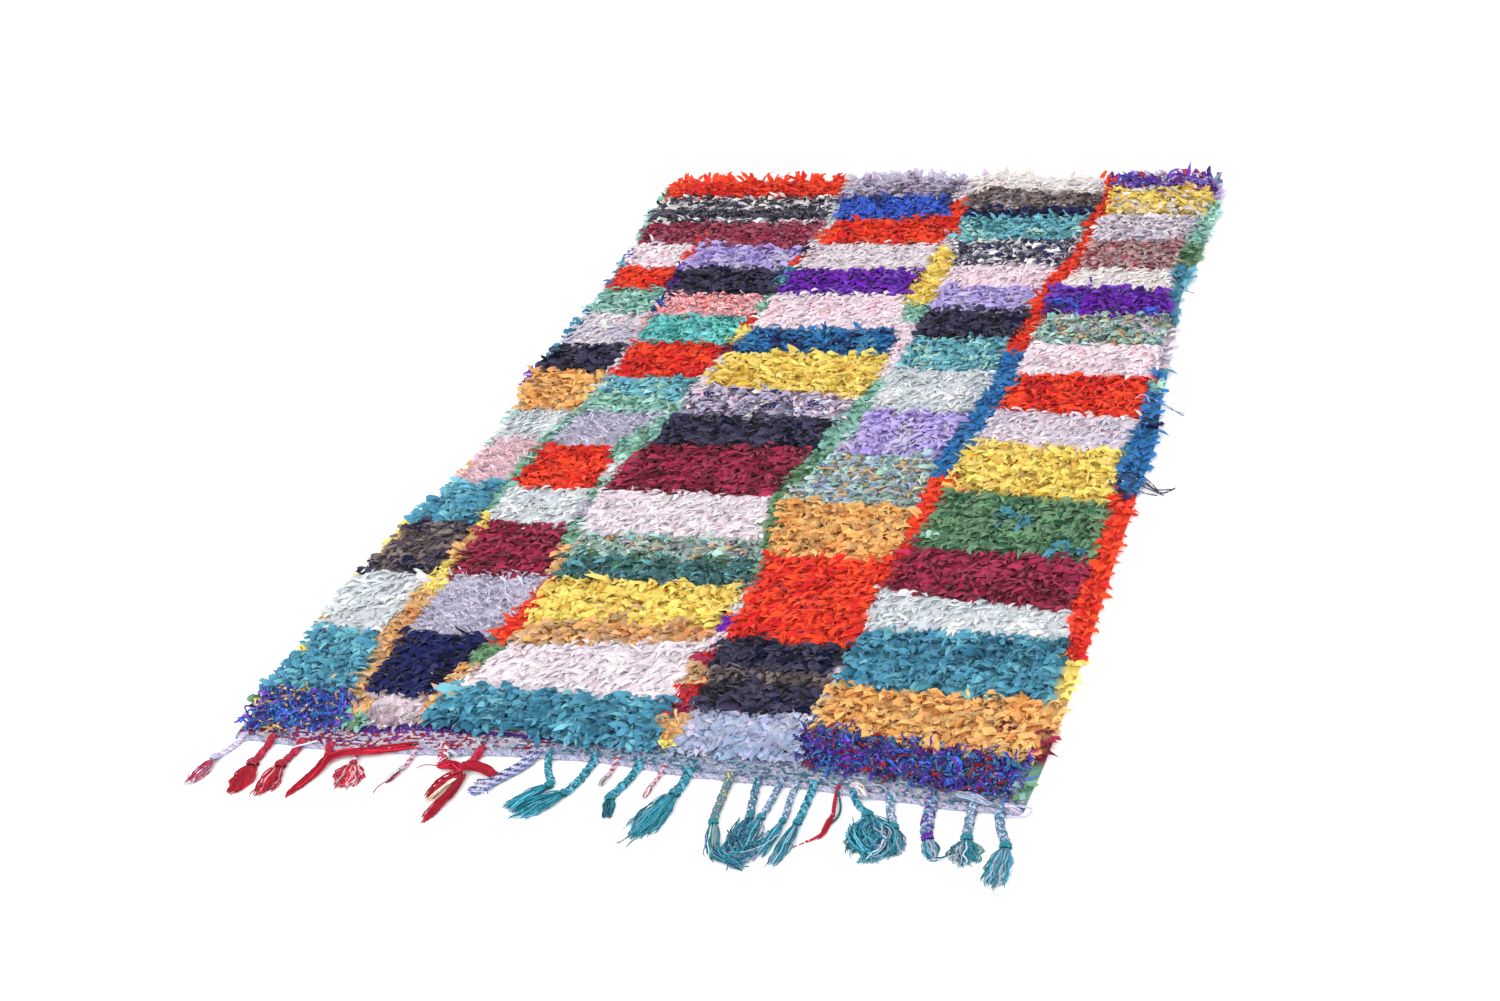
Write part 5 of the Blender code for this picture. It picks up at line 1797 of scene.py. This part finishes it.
def build_fringe(material):
    chance = np.random.default_rng(SEED + 4)
    pieces = [make_piece("end_cord", build_cord() + build_wads(chance), material, "tassel_yarn")]
    for number, own in enumerate((TASSELS[:TASSEL_SPLIT], TASSELS[TASSEL_SPLIT:])):
        grids = [grid for tassel in own for grid in build_tassel(chance, tassel)]
        pieces.append(make_piece(f"tassels_{number + 1}", grids, material, "tassel_yarn"))
    pieces.append(make_piece("loose_yarns", build_threads(chance), material, "tassel_yarn"))
    return pieces


# Floor, light and camera
FLOOR_SIZE = 60.0
FLOOR_COLOUR = (0.90, 0.90, 0.905, 1.0)
WHITE = (1.0, 1.0, 1.0, 1.0)
CAMERA_PLACE = (1.480, -4.160, 2.381)
CAMERA_RIGHT = (0.94719, 0.29145, -0.13371)
CAMERA_UP = (-0.03916, 0.51901, 0.85387)
LENS = 54.4
SENSOR = 36.0
WORLD_LIGHT = 1.12

Lamp = namedtuple("Lamp", "place aim size power")
LAMPS = (
    Lamp((-1.6, -4.6, 3.0), (0.0, 0.0, 0.0), 3.0, 150.0),
    Lamp((2.8, -3.6, 3.2), (0.0, 0.0, 0.0), 3.0, 95.0),
)


def build_stage():
    mesh = bpy.data.meshes.new("floor")
    half = FLOOR_SIZE / 2
    corners = ((-half, -half, 0), (half, -half, 0), (half, half, 0), (-half, half, 0))
    mesh.from_pydata(corners, [], [(0, 1, 2, 3)])
    material, _, shader = new_material("pale floor", roughness=0.9, sheen=0.0)
    shader.inputs["Base Color"].default_value = FLOOR_COLOUR
    mesh.materials.append(material)
    floor = bpy.data.objects.new("floor", mesh)
    bpy.context.scene.collection.objects.link(floor)
    world = bpy.data.worlds.new("studio")
    world.use_nodes = True
    background = world.node_tree.nodes["Background"].inputs
    background["Color"].default_value = WHITE
    background["Strength"].default_value = WORLD_LIGHT
    bpy.context.scene.world = world
    for number, lamp in enumerate(LAMPS):
        light = bpy.data.lights.new(f"softbox_{number}", "AREA")
        light.size = lamp.size
        light.energy = lamp.power
        thing = bpy.data.objects.new(f"softbox_{number}", light)
        thing.location = lamp.place
        thing.rotation_euler = (Vector(lamp.aim) - Vector(lamp.place)).to_track_quat("-Z", "Y").to_euler()
        bpy.context.scene.collection.objects.link(thing)


def build_camera():
    camera = bpy.data.cameras.new("camera")
    camera.lens = LENS
    camera.sensor_width = SENSOR
    camera.sensor_fit = "HORIZONTAL"
    thing = bpy.data.objects.new("camera", camera)
    right, up = Vector(CAMERA_RIGHT), Vector(CAMERA_UP)
    axes = Matrix((right, up, right.cross(up))).transposed()
    thing.matrix_world = Matrix.Translation(CAMERA_PLACE) @ axes.to_4x4()
    bpy.context.scene.collection.objects.link(thing)
    bpy.context.scene.camera = thing


def main():
    build_camera()
    build_stage()
    bpy.context.scene.view_settings.view_transform = "Standard"
    materials = {"rag": rag_material(), "yarn": yarn_material(), "weave": weave_material()}
    ground = build_ground(materials["weave"])
    band = build_band(materials["weave"])
    pile = [build_body(materials["rag"]), *build_pile(materials)]
    cord, *tassels = build_fringe(materials["yarn"])
    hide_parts("rug")
    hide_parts("fringe")


main()
